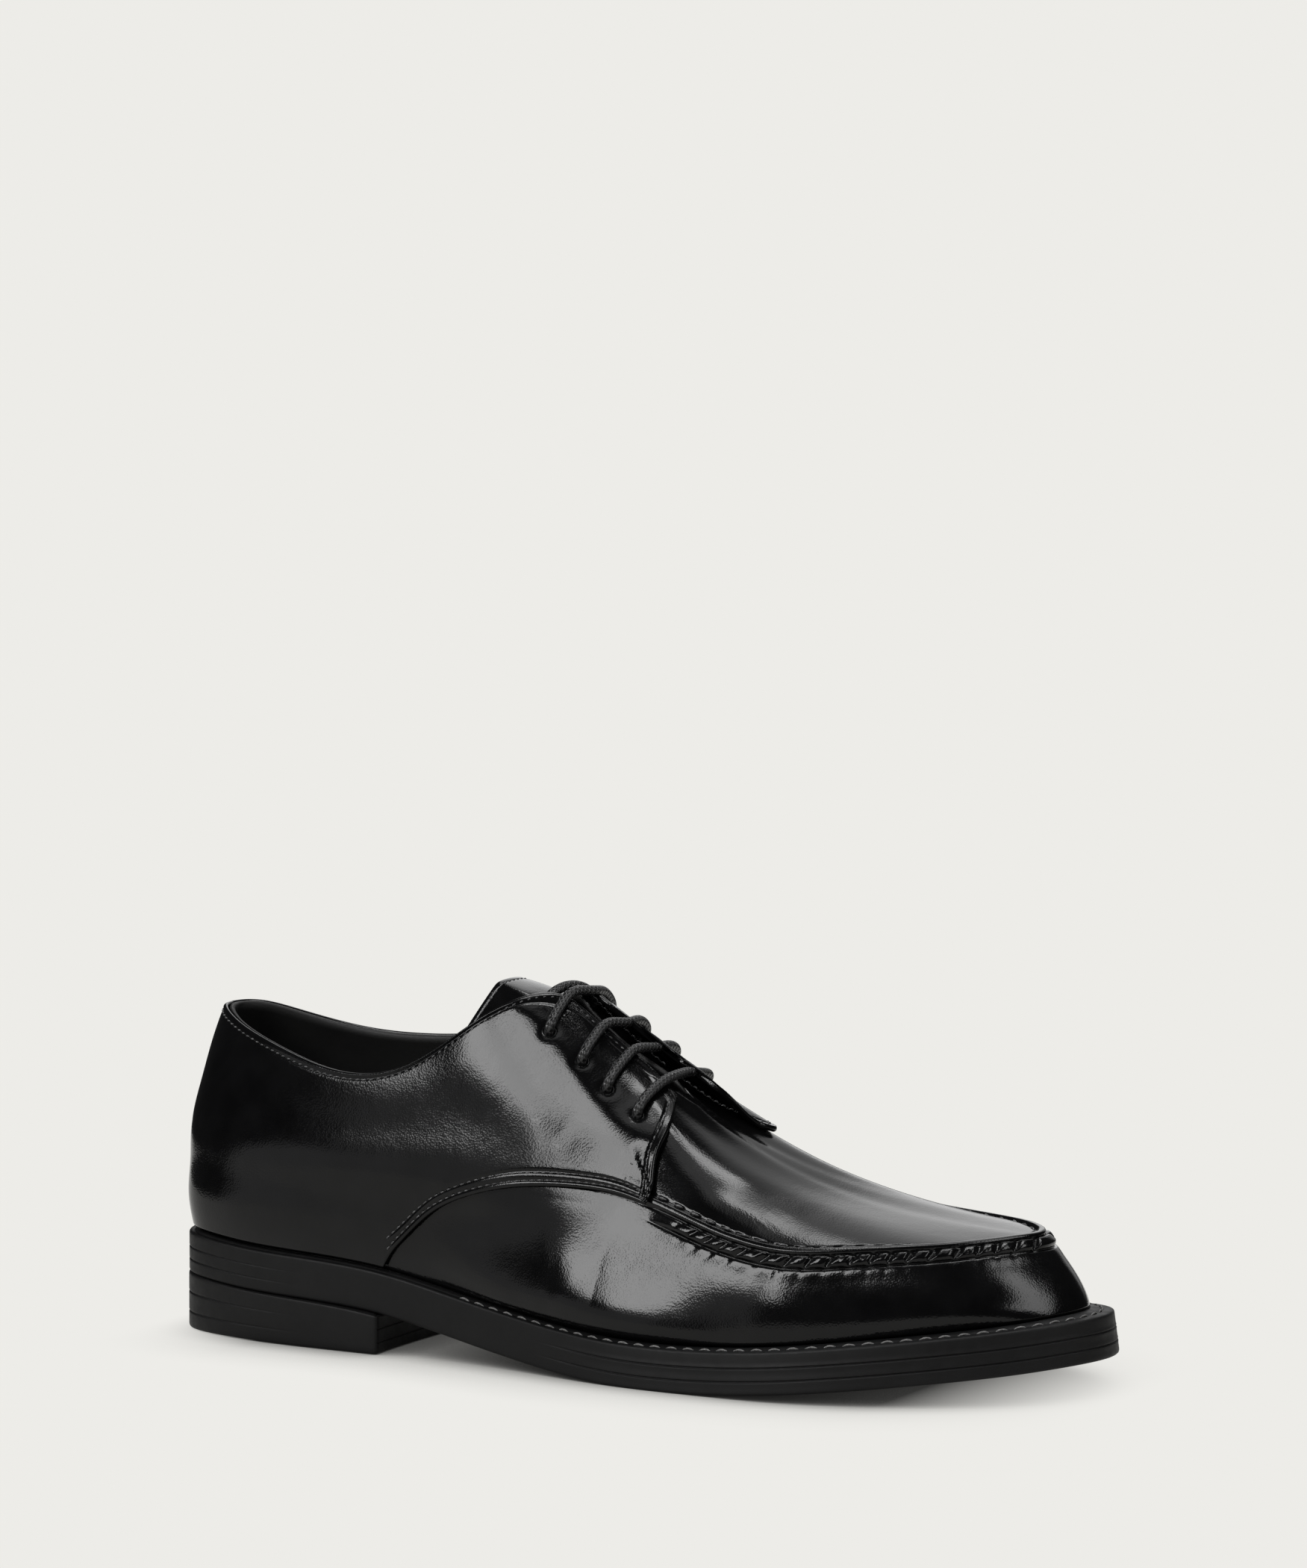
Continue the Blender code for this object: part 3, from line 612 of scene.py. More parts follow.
class Paint(Nodes):
    """Nodes of one new material round its shader."""

    def __init__(self, name):
        self.material = bpy.data.materials.new(name)
        self.material.use_nodes = True
        super().__init__(self.material.node_tree)
        self.shader = self.tree.nodes["Principled BSDF"]

    def set(self, **values):
        """Plain values on the shader's own sockets."""
        for key, value in values.items():
            self.shader.inputs[key.replace("_", " ")].default_value = value

    def feed(self, **sources):
        """Outputs linked to the shader's inputs of these names."""
        for key, source in sources.items():
            self.join(source, self.shader.inputs[key.replace("_", " ")])

    def noise(self, vector, scale, detail=3.0, roughness=0.55):
        """Cloudy noise, scale is in waves per metre."""
        node = self.add("ShaderNodeTexNoise", Scale=scale, Detail=detail, Roughness=roughness)
        self.join(vector, node.inputs["Vector"])
        return node.outputs["Fac"]

    def mix(self, factor, low, high):
        """Colour between two colours."""
        node = self.add("ShaderNodeMix", data_type="RGBA")
        node.inputs[6].default_value = low
        node.inputs[7].default_value = high
        self.join(factor, node.inputs[0])
        return node.outputs[2]

    def relief(self, height, strength, distance, base=None):
        """Bump from a height; the distance is in metres."""
        node = self.add("ShaderNodeBump", Strength=strength, Distance=distance)
        self.join(height, node.inputs["Height"])
        if base is not None:
            self.join(base, node.inputs["Normal"])
        return node.outputs["Normal"]

    def patches(self, cloud, base, dark, light, full=0.7):
        """Colour in soft patches: the base times two factors, from the cloud's low part to its full part."""
        return self.mix(self.spread(cloud, 0.35, full), shade(base, dark), shade(base, light))

    def place(self):
        """Object coordinates, in metres."""
        return self.add("ShaderNodeTexCoord").outputs["Object"]


def shade(colour_value, factor):
    """A colour made lighter or darker by a factor."""
    return (*(min(c * factor, 1.0) for c in colour_value[:3]), 1.0)


def polished_leather():
    """Polished calf: fine pores and hair cells as bump, slow waves, a clear polish with uneven gloss."""
    p = Paint("polished_leather")
    here = p.place()
    pores = p.add("ShaderNodeTexVoronoi", feature="F1", Scale=1650.0, Randomness=1.0)
    p.join(here, pores.inputs["Vector"])
    cells = p.spread(pores.outputs["Distance"], 0.1, 0.75)
    fine = p.noise(here, 2600.0, 2.0)
    waves = p.noise(here, 210.0, 3.0, 0.5)
    normal = p.relief(waves, 0.10, 0.0005)
    normal = p.relief(cells, 0.16, 0.00008, normal)
    normal = p.relief(fine, 0.10, 0.00005, normal)
    tone = p.patches(p.noise(here, 75.0, 4.0), colour("leather"), 1.0, 1.9)
    gloss = p.math("ADD", p.spread(p.noise(here, 130.0, 5.0, 0.65), 0.3, 0.7, 0.085, 0.135),
                   p.spread(cells, 0.0, 1.0, 0.03, 0.0))
    p.feed(Normal=normal, Base_Color=tone, Roughness=gloss)
    p.set(IOR=1.30)
    return p.material


def lining_leather():
    """Plain lining: dull, with a fine nap and soft stains from wear."""
    p = Paint("lining_leather")
    here = p.place()
    nap = p.noise(here, 1400.0, 4.0, 0.7)
    normal = p.relief(nap, 0.35, 0.00012)
    tone = p.patches(p.noise(here, 55.0, 4.0), colour("lining"), 0.7, 1.8)
    p.feed(Normal=normal, Base_Color=tone, Roughness=p.spread(nap, 0.2, 0.8, 0.48, 0.66))
    p.set(IOR=1.38)
    return p.material


def moulded_rubber():
    """Moulded sole rubber: matt, with a fine sand grain, faint flow marks and dusty paler patches."""
    p = Paint("moulded_rubber")
    here = p.place()
    sand = p.noise(here, 3200.0, 3.0, 0.7)
    flow = p.noise(here, 320.0, 3.0)
    normal = p.relief(sand, 0.30, 0.00007, p.relief(flow, 0.10, 0.0003))
    tone = p.patches(p.noise(here, 95.0, 5.0, 0.6), colour("rubber"), 1.0, 1.55, 0.72)
    p.feed(Normal=normal, Base_Color=tone, Roughness=p.spread(flow, 0.3, 0.7, 0.48, 0.60))
    p.set(IOR=1.26)
    return p.material


def waxed_thread(name, tint, gloss):
    """Twisted waxed thread: slanting ply lines as bump and uneven tone."""
    p = Paint(name)
    here = p.place()
    wave = p.add("ShaderNodeTexWave", wave_type="BANDS", bands_direction="DIAGONAL", Scale=620.0,
                 Distortion=2.0)
    p.join(here, wave.inputs["Vector"])
    ply = wave.outputs["Fac"]
    normal = p.relief(ply, 0.5, 0.00012)
    tone = p.patches(p.noise(here, 900.0, 3.0), colour(tint), 0.7, 1.7)
    p.feed(Normal=normal, Base_Color=tone, Roughness=p.spread(ply, 0.0, 1.0, gloss, gloss + 0.15))
    return p.material


# Length of one braid of the lace in metres, and the strands that run each way round it.
BRAID_PITCH = 0.0021
BRAID_STRANDS = 4.0


def waxed_lace():
    """Braided waxed lace: two sets of crossing strands over its own length and turn; paler specks from waxy
    patches and a painted sheen on the raised strands.
    """
    p = Paint("waxed_lace")
    base = colour("cord")
    flat = p.add("ShaderNodeUVMap", uv_map="along").outputs["UV"]
    split = p.add("ShaderNodeSeparateXYZ")
    p.join(flat, split.inputs["Vector"])
    along, round_it = split.outputs["X"], split.outputs["Y"]
    strands = []
    for sign in (1.0, -1.0):
        phase = p.math("ADD", p.math("MULTIPLY", along, 2.0 * PI / BRAID_PITCH),
                       p.math("MULTIPLY", round_it, sign * 2.0 * PI * BRAID_STRANDS))
        strands.append(p.math("SINE", phase, 0.0))
    braid = p.math("MAXIMUM", *strands)
    normal = p.relief(braid, 0.75, 0.00022)
    grain = p.noise(p.place(), 700.0, 4.0, 0.7)
    # Paler specks: partly waxy patches from the grain noise, partly a painted sheen where the braid's strands
    # stand highest.
    wax_and_sheen = p.spread(p.math("ADD", p.math("MULTIPLY", braid, 0.25), grain), 0.60, 0.95)
    tone = p.mix(wax_and_sheen, shade(base, 0.7), shade(base, 4.0))
    p.feed(Normal=normal, Base_Color=tone, Roughness=p.spread(grain, 0.3, 0.7, 0.30, 0.48))
    return p.material


def dark_hole():
    """Raw inside of a punched hole: dull, fibrous and almost black."""
    p = Paint("raw_hole")
    here = p.place()
    fibre = p.noise(here, 2500.0, 3.0)
    normal = p.relief(fibre, 0.6, 0.0002)
    p.feed(Normal=normal, Base_Color=p.mix(fibre, (0.0015, 0.0015, 0.0015, 1.0), (0.004, 0.004, 0.004, 1.0)))
    p.set(Roughness=0.9)
    return p.material


PAINTS = {}
PAINT_MAKERS = {
    "leather": polished_leather,
    "lining": lining_leather,
    "rubber": moulded_rubber,
    # Upper thread: its paler tone is a painted sheen on black thread.
    "thread": lambda: waxed_thread("waxed_thread", "thread", 0.32),
    "welt_thread": lambda: waxed_thread("welt_thread", "welt_thread", 0.55),
    "lace": waxed_lace,
    "hole": dark_hole,
}


def paint(name):
    """The material of that name, made once."""
    if name not in PAINTS:
        PAINTS[name] = PAINT_MAKERS[name]()
    return PAINTS[name]


# Sole, heel and footbed

SOLE_AROUND = 720
# Places of the grooves: millimetres under the welt's top, and shares of the heel's height.
SOLE_GROOVES = (5.3, 9.2)
HEEL_GROOVES = (0.30, 0.655)
# Rounded rim and lower edge of the sole: inset and depth of their rows.
WELT_RIM = ((0.62, 0.58), (0.36, 0.66), (0.16, 0.80), (0.04, 1.02))
SOLE_FOOT = ((0.05, 12.6), (0.2, 12.95), (0.5, 13.2), (1.0, 13.3), (6.0, 13.3))
# Shares of the welt's margin where its top has rows, and the one where the stitch channel runs.
WELT_SHARES = (2.1, 1.5, 1.15, 1.0, 0.86, 0.74, 0.66, 0.60, 0.54, 0.48, 0.42, 0.36, 0.30, 0.25)
CHANNEL_SHARE = 0.50


def sole_angles(count):
    """Angles round the whole shoe, half a step off the ends so that rungs pair up."""
    step = 2.0 * PI / count
    return -PI + step * (np.arange(count) + 0.5)


def fore_share(angle):
    """1 along the forefoot's edge, 0 in the waist and at the heel."""
    return ease(-0.10, 0.12, np.cos(angle))


def heel_share(angle):
    """1 at the back of the heel, fading along its sides."""
    return ease(-0.62, -0.92, np.cos(angle))


def sole_row(angle, drop, inset):
    """Line round the sole at a depth below the welt's top, flared in front, kept on or above the floor."""
    flare = SOLE_FLARE * drop / SOLE_DEPTH * np.clip((np.cos(angle) + 0.3) / 0.5, 0.0, 1.0)
    line, _ = outline(angle, inset - flare, drop)
    line[:, 2] = np.maximum(line[:, 2], 0.0)
    return line


def sole_piece():
    """Sole unit: a side profile carried round the outline.

    The top is the welt with a sunk stitch channel, its rim and lower edge are rounded, and the side has
    two grooves, each a soft notch in the inset, deep at the heel and the forefoot and gone in the waist;
    beside them the forefoot has faint beads.
    """
    angle = sole_angles(SOLE_AROUND)
    margin = welt_margin(angle)
    rows = []
    for share in WELT_SHARES:
        channel = 0.22 * bump(share, CHANNEL_SHARE, 0.09)
        rows.append(sole_row(angle, channel + 0.55 * ease(1.0, 0.20, share), share * margin))
    rows += [sole_row(angle, drop, inset) for inset, drop in WELT_RIM]
    depths = [np.linspace(1.4, 4.5, 4)]
    for groove, after in zip(SOLE_GROOVES, ((1.0, 1.9, 2.6), (1.2, 2.2, 3.0))):
        depths.append(groove + np.array([-0.5, -0.34, -0.22, -0.12, 0.0, 0.12, 0.22, 0.34, 0.5]))
        depths.append(groove + np.array(after))
    deep = 0.42 * heel_share(angle) + 0.34 * fore_share(angle)
    for depth in np.concatenate(depths):
        notch = sum(bump(depth, g, 0.2) for g in SOLE_GROOVES)
        beads = sum(bump(depth, g + 0.42, 0.18) + bump(depth, g - 0.42, 0.18) for g in SOLE_GROOVES)
        rows.append(sole_row(angle, depth, deep * notch - 0.12 * fore_share(angle) * beads))
    rows += [sole_row(angle, drop, inset) for inset, drop in SOLE_FOOT]
    return new_piece("sole_unit", np.stack(rows), capped_tube(len(rows), SOLE_AROUND), ("rubber",), "rubber",
                     ("welt", "midsole", "outsole"))


# Rounded lower and upper edge of the heel block: share of its height and inset of their rows.
HEEL_FOOT = ((0.0, 6.0), (0.0, 0.8), (0.012, 0.35), (0.03, 0.12), (0.06, 0.0))
HEEL_HEAD = ((0.82, 0.0), (0.92, 0.0), (0.955, 0.0), (0.98, 0.06), (0.994, 0.2), (1.0, 0.5), (1.0, 4.0))
BREAST_POINTS = 80


def heel_plan():
    """Closed plan line of the heel block, its seat height and the share of groove on it.

    It is the outline behind the breast, standing more proud towards it, then the nearly straight breast;
    three rounds of averaging with its neighbours round its corners.
    """
    breast = math.acos(2.0 * BREAST_SHARE - 1.0)
    half = np.linspace(PI - 1e-3, breast, 150)
    angle = np.concatenate([half[::-1], 2.0 * PI - half])
    proud = HEEL_PROUD * ((PI - away(angle)) / (PI - breast)) ** 2
    line, _ = outline(angle, -proud)
    line[:, 0] = np.minimum(line[:, 0], SOLE_LENGTH * (BREAST_SHARE - 0.5))
    share = np.linspace(0.0, 1.0, BREAST_POINTS + 2)[1:-1, None]
    face = line[-1] * (1.0 - share) + line[0] * share
    face[:, 0] -= 1.6 * np.sin(PI * share[:, 0]) ** 0.7
    whole = np.concatenate([line, face])
    seat = np.concatenate([sole_height(angle), sole_height(angle[-1]) * (1.0 - share[:, 0])
                           + sole_height(angle[0]) * share[:, 0]]) - HEEL_SEAT
    back = np.concatenate([heel_share(angle), np.full(len(share), 0.55)])
    for _ in range(3):
        whole[:, :2] = (np.roll(whole, 1, 0) + 2.0 * whole + np.roll(whole, -1, 0))[:, :2] / 4.0
    return whole[:, :2], seat, back


def heel_piece():
    """Heel block: its plan line carried from floor to seat with rounded edges and two grooves."""
    plan, seat, back = heel_plan()
    along = unit(np.roll(plan, -1, 0) - np.roll(plan, 1, 0))
    out = np.stack([along[:, 1], -along[:, 0]], -1)
    out = out if np.sum(out * (plan - plan.mean(axis=0))) > 0.0 else -out
    beside = (-0.12, -0.045, -0.03, -0.018, -0.009, 0.0, 0.009, 0.018, 0.03, 0.045)
    profile = [*HEEL_FOOT, *((groove + step, 0.0) for groove in HEEL_GROOVES for step in beside), *HEEL_HEAD]
    rows = []
    for level, inset in profile:
        notch = 0.42 * back * sum(bump(level, g, 0.014) for g in HEEL_GROOVES)
        flat = plan - out * (inset + notch)[:, None]
        rows.append(np.concatenate([flat, (seat * level)[:, None]], -1))
    return new_piece("heel_block", np.stack(rows), capped_tube(len(rows), len(plan), BREAST_POINTS // 2),
                     ("rubber",), "rubber", ("heel_lift_upper", "heel_lift_lower", "heel_top_piece"))


def welt_stitch_row():
    """Stitches in the welt's channel from the lateral waist round the toe to the medial waist."""
    angle = np.linspace(-math.radians(106.0), math.radians(106.0), 900)
    path = sole_row(angle, 0.40, CHANNEL_SHARE * welt_margin(angle))
    normal = np.tile((0.0, 0.0, 1.0), (len(path), 1))
    return stitches(path, normal, sizes()["welt_pitch"], *WELT_STITCH, 0.14)


FOOTBED_THICK = 2.5
FOOTBED_CLEAR = 1.3
FOOTBED_LIFT = 0.05
FOOTBED_DISH = 0.5


def insole_piece():
    """Footbed: a sheet between the two sides of the upper, dished across, with a rounded border."""
    angle = np.radians(np.concatenate([[1.0, 3.0], np.linspace(6.0, 174.0, 110), [177.0, 179.0]]))
    across = np.linspace(-1.0, 1.0, 41)
    across = np.sign(across) * (1.0 - (1.0 - np.abs(across)) ** 1.5)
    inset = welt_margin(angle) + WALL + FOOTBED_CLEAR
    left = outline(-angle, inset, -GAP)[0]
    right = outline(angle, inset, -GAP)[0]
    share = (across[None, :, None] + 1.0) / 2.0
    flat = left[:, None] * (1.0 - share) + right[:, None] * share
    width = np.linalg.norm(right - left, axis=1)[:, None]
    edge = (1.0 - np.abs(across))[None] * width / 2.0
    thick = FOOTBED_THICK * round_edge(edge, FOOTBED_THICK)
    top, low = flat.copy(), flat.copy()
    low[..., 2] += FOOTBED_LIFT
    top[..., 2] += FOOTBED_LIFT + thick - FOOTBED_DISH * (1.0 - across[None] ** 2) * round_edge(edge, 9.0)
    return new_piece("insole_footbed", *pillow(top, low), ("lining",), "lining", ("insole",))


# Upper

# Soft folds: angle and level of both ends, half width and height in millimetres.
VAMP_FOLDS = (
    (-86.0, 0.62, -89.4, 0.25, 3.2, -0.13),
    (-91.8, 0.90, -92.6, 0.30, 12.0, 0.80),
    (-86.5, 0.30, -92.5, 0.28, 9.0, 0.80),
    (-71.0, 1.19, -51.0, 1.40, 6.0, -0.40),
    (-68.5, 1.48, -58.0, 1.20, 13.0, -1.70),
)
TUCK_HEIGHT = 3.2
GATHER_LEAN = 0.72
BAND_MIDDLE = -2.7
CREASE = -5.0
PLUG_STITCH = 2.9
# Step in level that measures the form beside the seam.
SEAM_STEP = 0.02
# Rows at set distances from the seam, in millimetres across it: their reach, and start and rows of each band.
SEAM_REACH = (-14.0, 8.0)
SEAM_BANDS = ((-14.0, 12), (-6.0, 7), (-4.2, 9), (-0.9, 4), (-0.1, 8), (2.3, 7), (4.2, 6))
INNER_ROWS = 26


def seam_rates(angle, step):
    """Millimetres across the seam and along it per level, on the side of it where the step in level goes."""
    tangent = unit(seam_line(angle + 1e-3) - seam_line(angle - 1e-3))
    rise = (last_point(angle, 1.0 + step) - last_point(angle, 1.0)) / step
    slide = np.einsum("ij,ij->i", rise, tangent)
    return np.linalg.norm(rise - slide[:, None] * tangent, axis=1), slide


def upper_columns():
    """Angles round the upper: about half a millimetre apart along the apron seam, wider behind it."""
    fine = np.linspace(-PI, PI, 6001)
    step = np.linalg.norm(np.diff(seam_line(fine), axis=0), axis=1)
    apart = 0.55 + 2.6 * fade(86.0, 100.0, (fine[1:] + fine[:-1]) / 2.0)
    run = np.concatenate([[0.0], np.cumsum(step / apart)])
    count = 2 * int(run[-1] / 2.0)
    return np.interp(np.arange(count) * run[-1] / count, run, fine)


def seam_run(angle):
    """Length along the seam from the toe tip, without its side."""
    fine = np.linspace(0.0, PI, 4001)
    left, right = arc_length(seam_line(-fine)), arc_length(seam_line(fine))
    angle = (np.asarray(angle) + PI) % (2.0 * PI) - PI
    return np.where(angle < 0.0, np.interp(-angle, fine, left), np.interp(angle, fine, right))


def seam_cover(angle):
    """1 along the apron seam, fading out under the quarters."""
    return fade(90.0, 82.0, angle)


def seam_relief(angle, across, run):
    """Height of the apron seam over the plain form, from millimetres across it and along it.

    Apron side: a smooth raised lip and a row of stitch dents. Wall side: a dark step under the lip,
    a rolled band cut into slanting pads, a sharp crease, then scallops that die out down the wall and are
    flatter towards the toe.
    """
    size = sizes()
    pitch, depth = size["gather_pitch"], size["gather_depth"]
    phase = run / pitch + 0.13 * np.sin(run / 9.1) + 0.09 * np.sin(run / 4.3 + 1.0)
    gathered = fade(80.0, 72.0, angle) * ease(1.5, 6.0, run)
    slant = phase + GATHER_LEAN * (across - BAND_MIDDLE) / pitch
    near = slant - np.round(slant)
    each = np.round(slant)
    uneven = 0.75 + 0.5 * np.abs(np.sin(each * 12.99) * 4.37 % 1.0)
    valley = bump(near, 0.0, 0.15) * uneven
    wrinkle = 0.10 * np.sin(2.0 * PI * 3.0 * slant + 2.0 * np.sin(each * 5.1)) * bump(near, 0.35, 0.25)

    lip = size["lip_height"] * bump(across, 0.95, 1.25, 4.0)
    step = -0.55 * bump(across, -0.72, 0.3)
    dash = ease(0.30, 0.20, np.abs(phase + 0.5 - np.round(phase + 0.5)))
    dent = -(0.16 + 0.42 * dash) * bump(across, PLUG_STITCH, 0.42)
    band = bump(across, BAND_MIDDLE, 1.85, 4.0) * (1.25 - gathered * (depth * valley - wrinkle))
    crease = -0.75 * bump(across, CREASE, 0.4)

    down = np.clip(CREASE - across, 0.0, None)
    low_phase = phase + 0.30 * GATHER_LEAN * (across - CREASE) / pitch - 0.30
    low_near = low_phase - np.round(low_phase)
    notch = bump(low_near, 0.0, 0.17)
    flatter = 0.35 + 0.65 * fade(56.0, 66.0, angle)
    scallop = flatter * gathered * ease(0.0, 0.8, down) * (
        0.20 * np.exp(-((down / 2.4) ** 1.5)) * (1.0 - 1.8 * notch)
        + 0.025 * np.exp(-down / 4.0) * np.sin(2.0 * PI * 2.3 * low_phase + 1.3 * np.sin(run / 7.0)))
    swell = 0.15 * bump(across, CREASE - 1.6, 2.2) * ease(0.0, 0.5, down)
    ahead = fade(82.5, 77.0, angle)
    return seam_cover(angle) * (lip + dent + ahead * (step + band + crease + scallop + swell))


def fold_relief(points, folds):
    """Sum of soft folds: each falls off with the square of the distance from a line between two spots."""
    total = np.zeros(points.shape[:-1])
    for angle_a, level_a, angle_b, level_b, width, height in folds:
        a = last_point(math.radians(angle_a), level_a)
        b = last_point(math.radians(angle_b), level_b)
        way = np.clip((points - a) @ (b - a) / ((b - a) @ (b - a)), 0.0, 1.0)
        gap = np.linalg.norm(points - a - way[..., None] * (b - a), axis=-1)
        total += height * np.exp(-((gap / width) ** 2)) * np.sin(PI * (0.15 + 0.7 * way))
    return total


def feather_tuck(angle, level):
    """Roll of the wall over the welt: share of the wall's height times the sixth power of the rest.

    It is highest a seventh of the way up, and the factor brings that top to one.
    """
    share = np.clip(level, 0.0, 1.0)
    fore = fade(112.0, 98.0, angle) * fade(67.0, 85.0, angle)
    return TUCK_HEIGHT * fore * 17.65 * share * (1.0 - share) ** 6


def upper_piece():
    """Upper: one closed shell round the shoe, whose outer rows lie at set distances from the seam.

    The outer face is the plain form plus the reliefs along a normal that is blended across the seam;
    the inner face is the lining, one wall below the plain form and sunk where the folds are.
    """
    angle = upper_columns()
    count = len(angle)
    wall_rate, wall_slide = seam_rates(angle, -SEAM_STEP)
    plug_rate, plug_slide = seam_rates(angle, SEAM_STEP)
    ends = [start for start, _ in SEAM_BANDS[1:]] + [SEAM_REACH[1]]
    bands = [np.linspace(start, end, rows + 1)[:-1] for (start, rows), end in zip(SEAM_BANDS, ends)]
    near = np.concatenate([*bands, SEAM_REACH[1:]])[:, None]
    level_near = 1.0 + near / np.where(near < 0.0, wall_rate, plug_rate)
    low = np.linspace(0.0, 1.0, 15)[:-1, None] * level_near[:1]
    high = level_near[-1:] + (2.0 - level_near[-1:]) * np.linspace(0.0, 1.0, 24)[1:, None]
    level = np.concatenate([low, level_near, high])
    turn = np.broadcast_to(angle, level.shape)
    rate = np.where(level < 1.0, wall_rate, plug_rate)
    slide = np.where(level < 1.0, wall_slide, plug_slide)
    across = (level - 1.0) * rate
    side = np.where(((angle + PI) % (2.0 * PI) - PI) < 0.0, -1.0, 1.0)
    run = seam_run(angle) + side * np.clip(across, *SEAM_REACH) * slide / rate

    plain = last_point(turn, level)
    normal = last_normal(turn, level)
    wall_normal = last_normal(angle, 1.0 - 6.0 / wall_rate)
    plug_normal = last_normal(angle, 1.0 + 5.0 / plug_rate)
    blend = ease(-5.0, 4.0, across)[..., None]
    mixed = unit(wall_normal * (1.0 - blend) + plug_normal * blend)
    clear = ease(5.0, 9.0, np.abs(across))[..., None]
    normal = unit(mixed * (1.0 - clear) + normal * clear)
    height = seam_relief(turn, across, run) + fold_relief(plain, VAMP_FOLDS) + feather_tuck(turn, level)
    height = height + np.minimum(ridge_relief(-1.0, turn, level, plain), 0.0) * (side < 0.0)
    outer = plain + height[..., None] * normal

    inner_level = np.linspace(1.995, 0.02, INNER_ROWS)[:, None]
    inner_turn, inner_level = np.broadcast_arrays(angle, inner_level)
    inner_plain = last_point(inner_turn, inner_level)
    sunk = np.minimum(ridge_relief(-1.0, inner_turn, inner_level, inner_plain), 0.0) * (side < 0.0)
    sunk = sunk + np.minimum(fold_relief(inner_plain, VAMP_FOLDS), 0.0)
    inner = offset_point(inner_turn, inner_level, sunk - WALL)
    rim = (outer[-1] + inner[0])[None] / 2.0 + 0.25 * unit(outer[-1] - outer[-2])[None]
    points = np.concatenate([outer, rim, inner])
    faces = tube_grid(len(points), count, True)
    lining = np.repeat(np.arange(len(points)) > len(outer) - 2, count)
    return new_piece("upper_vamp", points, faces, ("leather", "lining"), "leather", ("upper",),
                     paint_index=lining)


# Quarters and eyelets

# The ridge behind the eyelets, where the quarter turns into the flat facing: angle and level along it.
RIDGE = (
    (96.0, 2.000), (91.5, 1.900), (89.8, 1.822), (87.5, 1.707), (86.1, 1.592), (85.6, 1.484), (84.3, 1.387),
    (83.3, 1.328), (80.0, 1.279),
)
QUARTER_FOLDS = (
    (-101.0, 1.70, -90.5, 1.24, 10.0, 0.90),
)
# Rows beside a rounded edge, in millimetres from it, and the radius of that edge.
EDGE_ROLL = (0.0, 0.03, 0.1, 0.22, 0.4, 0.65, 0.95)
EDGE_ROUND = 0.8
# Grid of a quarter: rows beside its edges, its length, and the columns and rows between its edges.
QUARTER_EDGE = np.concatenate([EDGE_ROLL, np.arange(1.25, 4.6, 0.25), (5.0, 5.6)])
QUARTER_LENGTH = 230.0
QUARTER_ALONG = 170
QUARTER_UP = 52
# First columns at the heel's back, as shares of the quarter.
QUARTER_BACK = (0.0, 0.0004, 0.0012, 0.0025)
# Distances of the stitch rows from the lower and the front edge.
LOWER_STITCHES = (1.6, 3.6)
FRONT_STITCH = 2.6
HEEL_SWELL = 0.7
RIDGE_HEIGHT = 1.2
RIDGE_INSIDE = 8.0
RIDGE_OUTSIDE = 17.0
FACING_SINK = 1.1


def ridge_relief(side, angle, level, points):
    """Height of the outer quarter's ridge: falls with the square of the distance from its line.

    Towards the throat it falls faster and passes into the sunk facing, which ends at the front edge.
    """
    if side > 0.0:
        return np.zeros(np.shape(angle))
    line = np.array(RIDGE)
    spots = spline(np.arange(len(line)), line)(np.linspace(0.0, len(line) - 1.0, 41))
    spots = last_point(side * np.radians(spots[:, 0]), spots[:, 1])
    gap = np.min(np.linalg.norm(points[..., None, :] - spots, axis=-1), axis=-1)
    inside = away(angle) < np.radians(np.interp(level, line[::-1, 1], line[::-1, 0]))
    near = np.exp(-((gap / np.where(inside, RIDGE_INSIDE, RIDGE_OUTSIDE)) ** 2))
    edge = np.array(QUARTER_FRONT)[::-1]
    behind = ease(-0.02, 0.25, level - np.interp(np.degrees(away(angle)), edge[:, 0], edge[:, 1]))
    return RIDGE_HEIGHT * near - FACING_SINK * inside * behind * (1.0 - near)


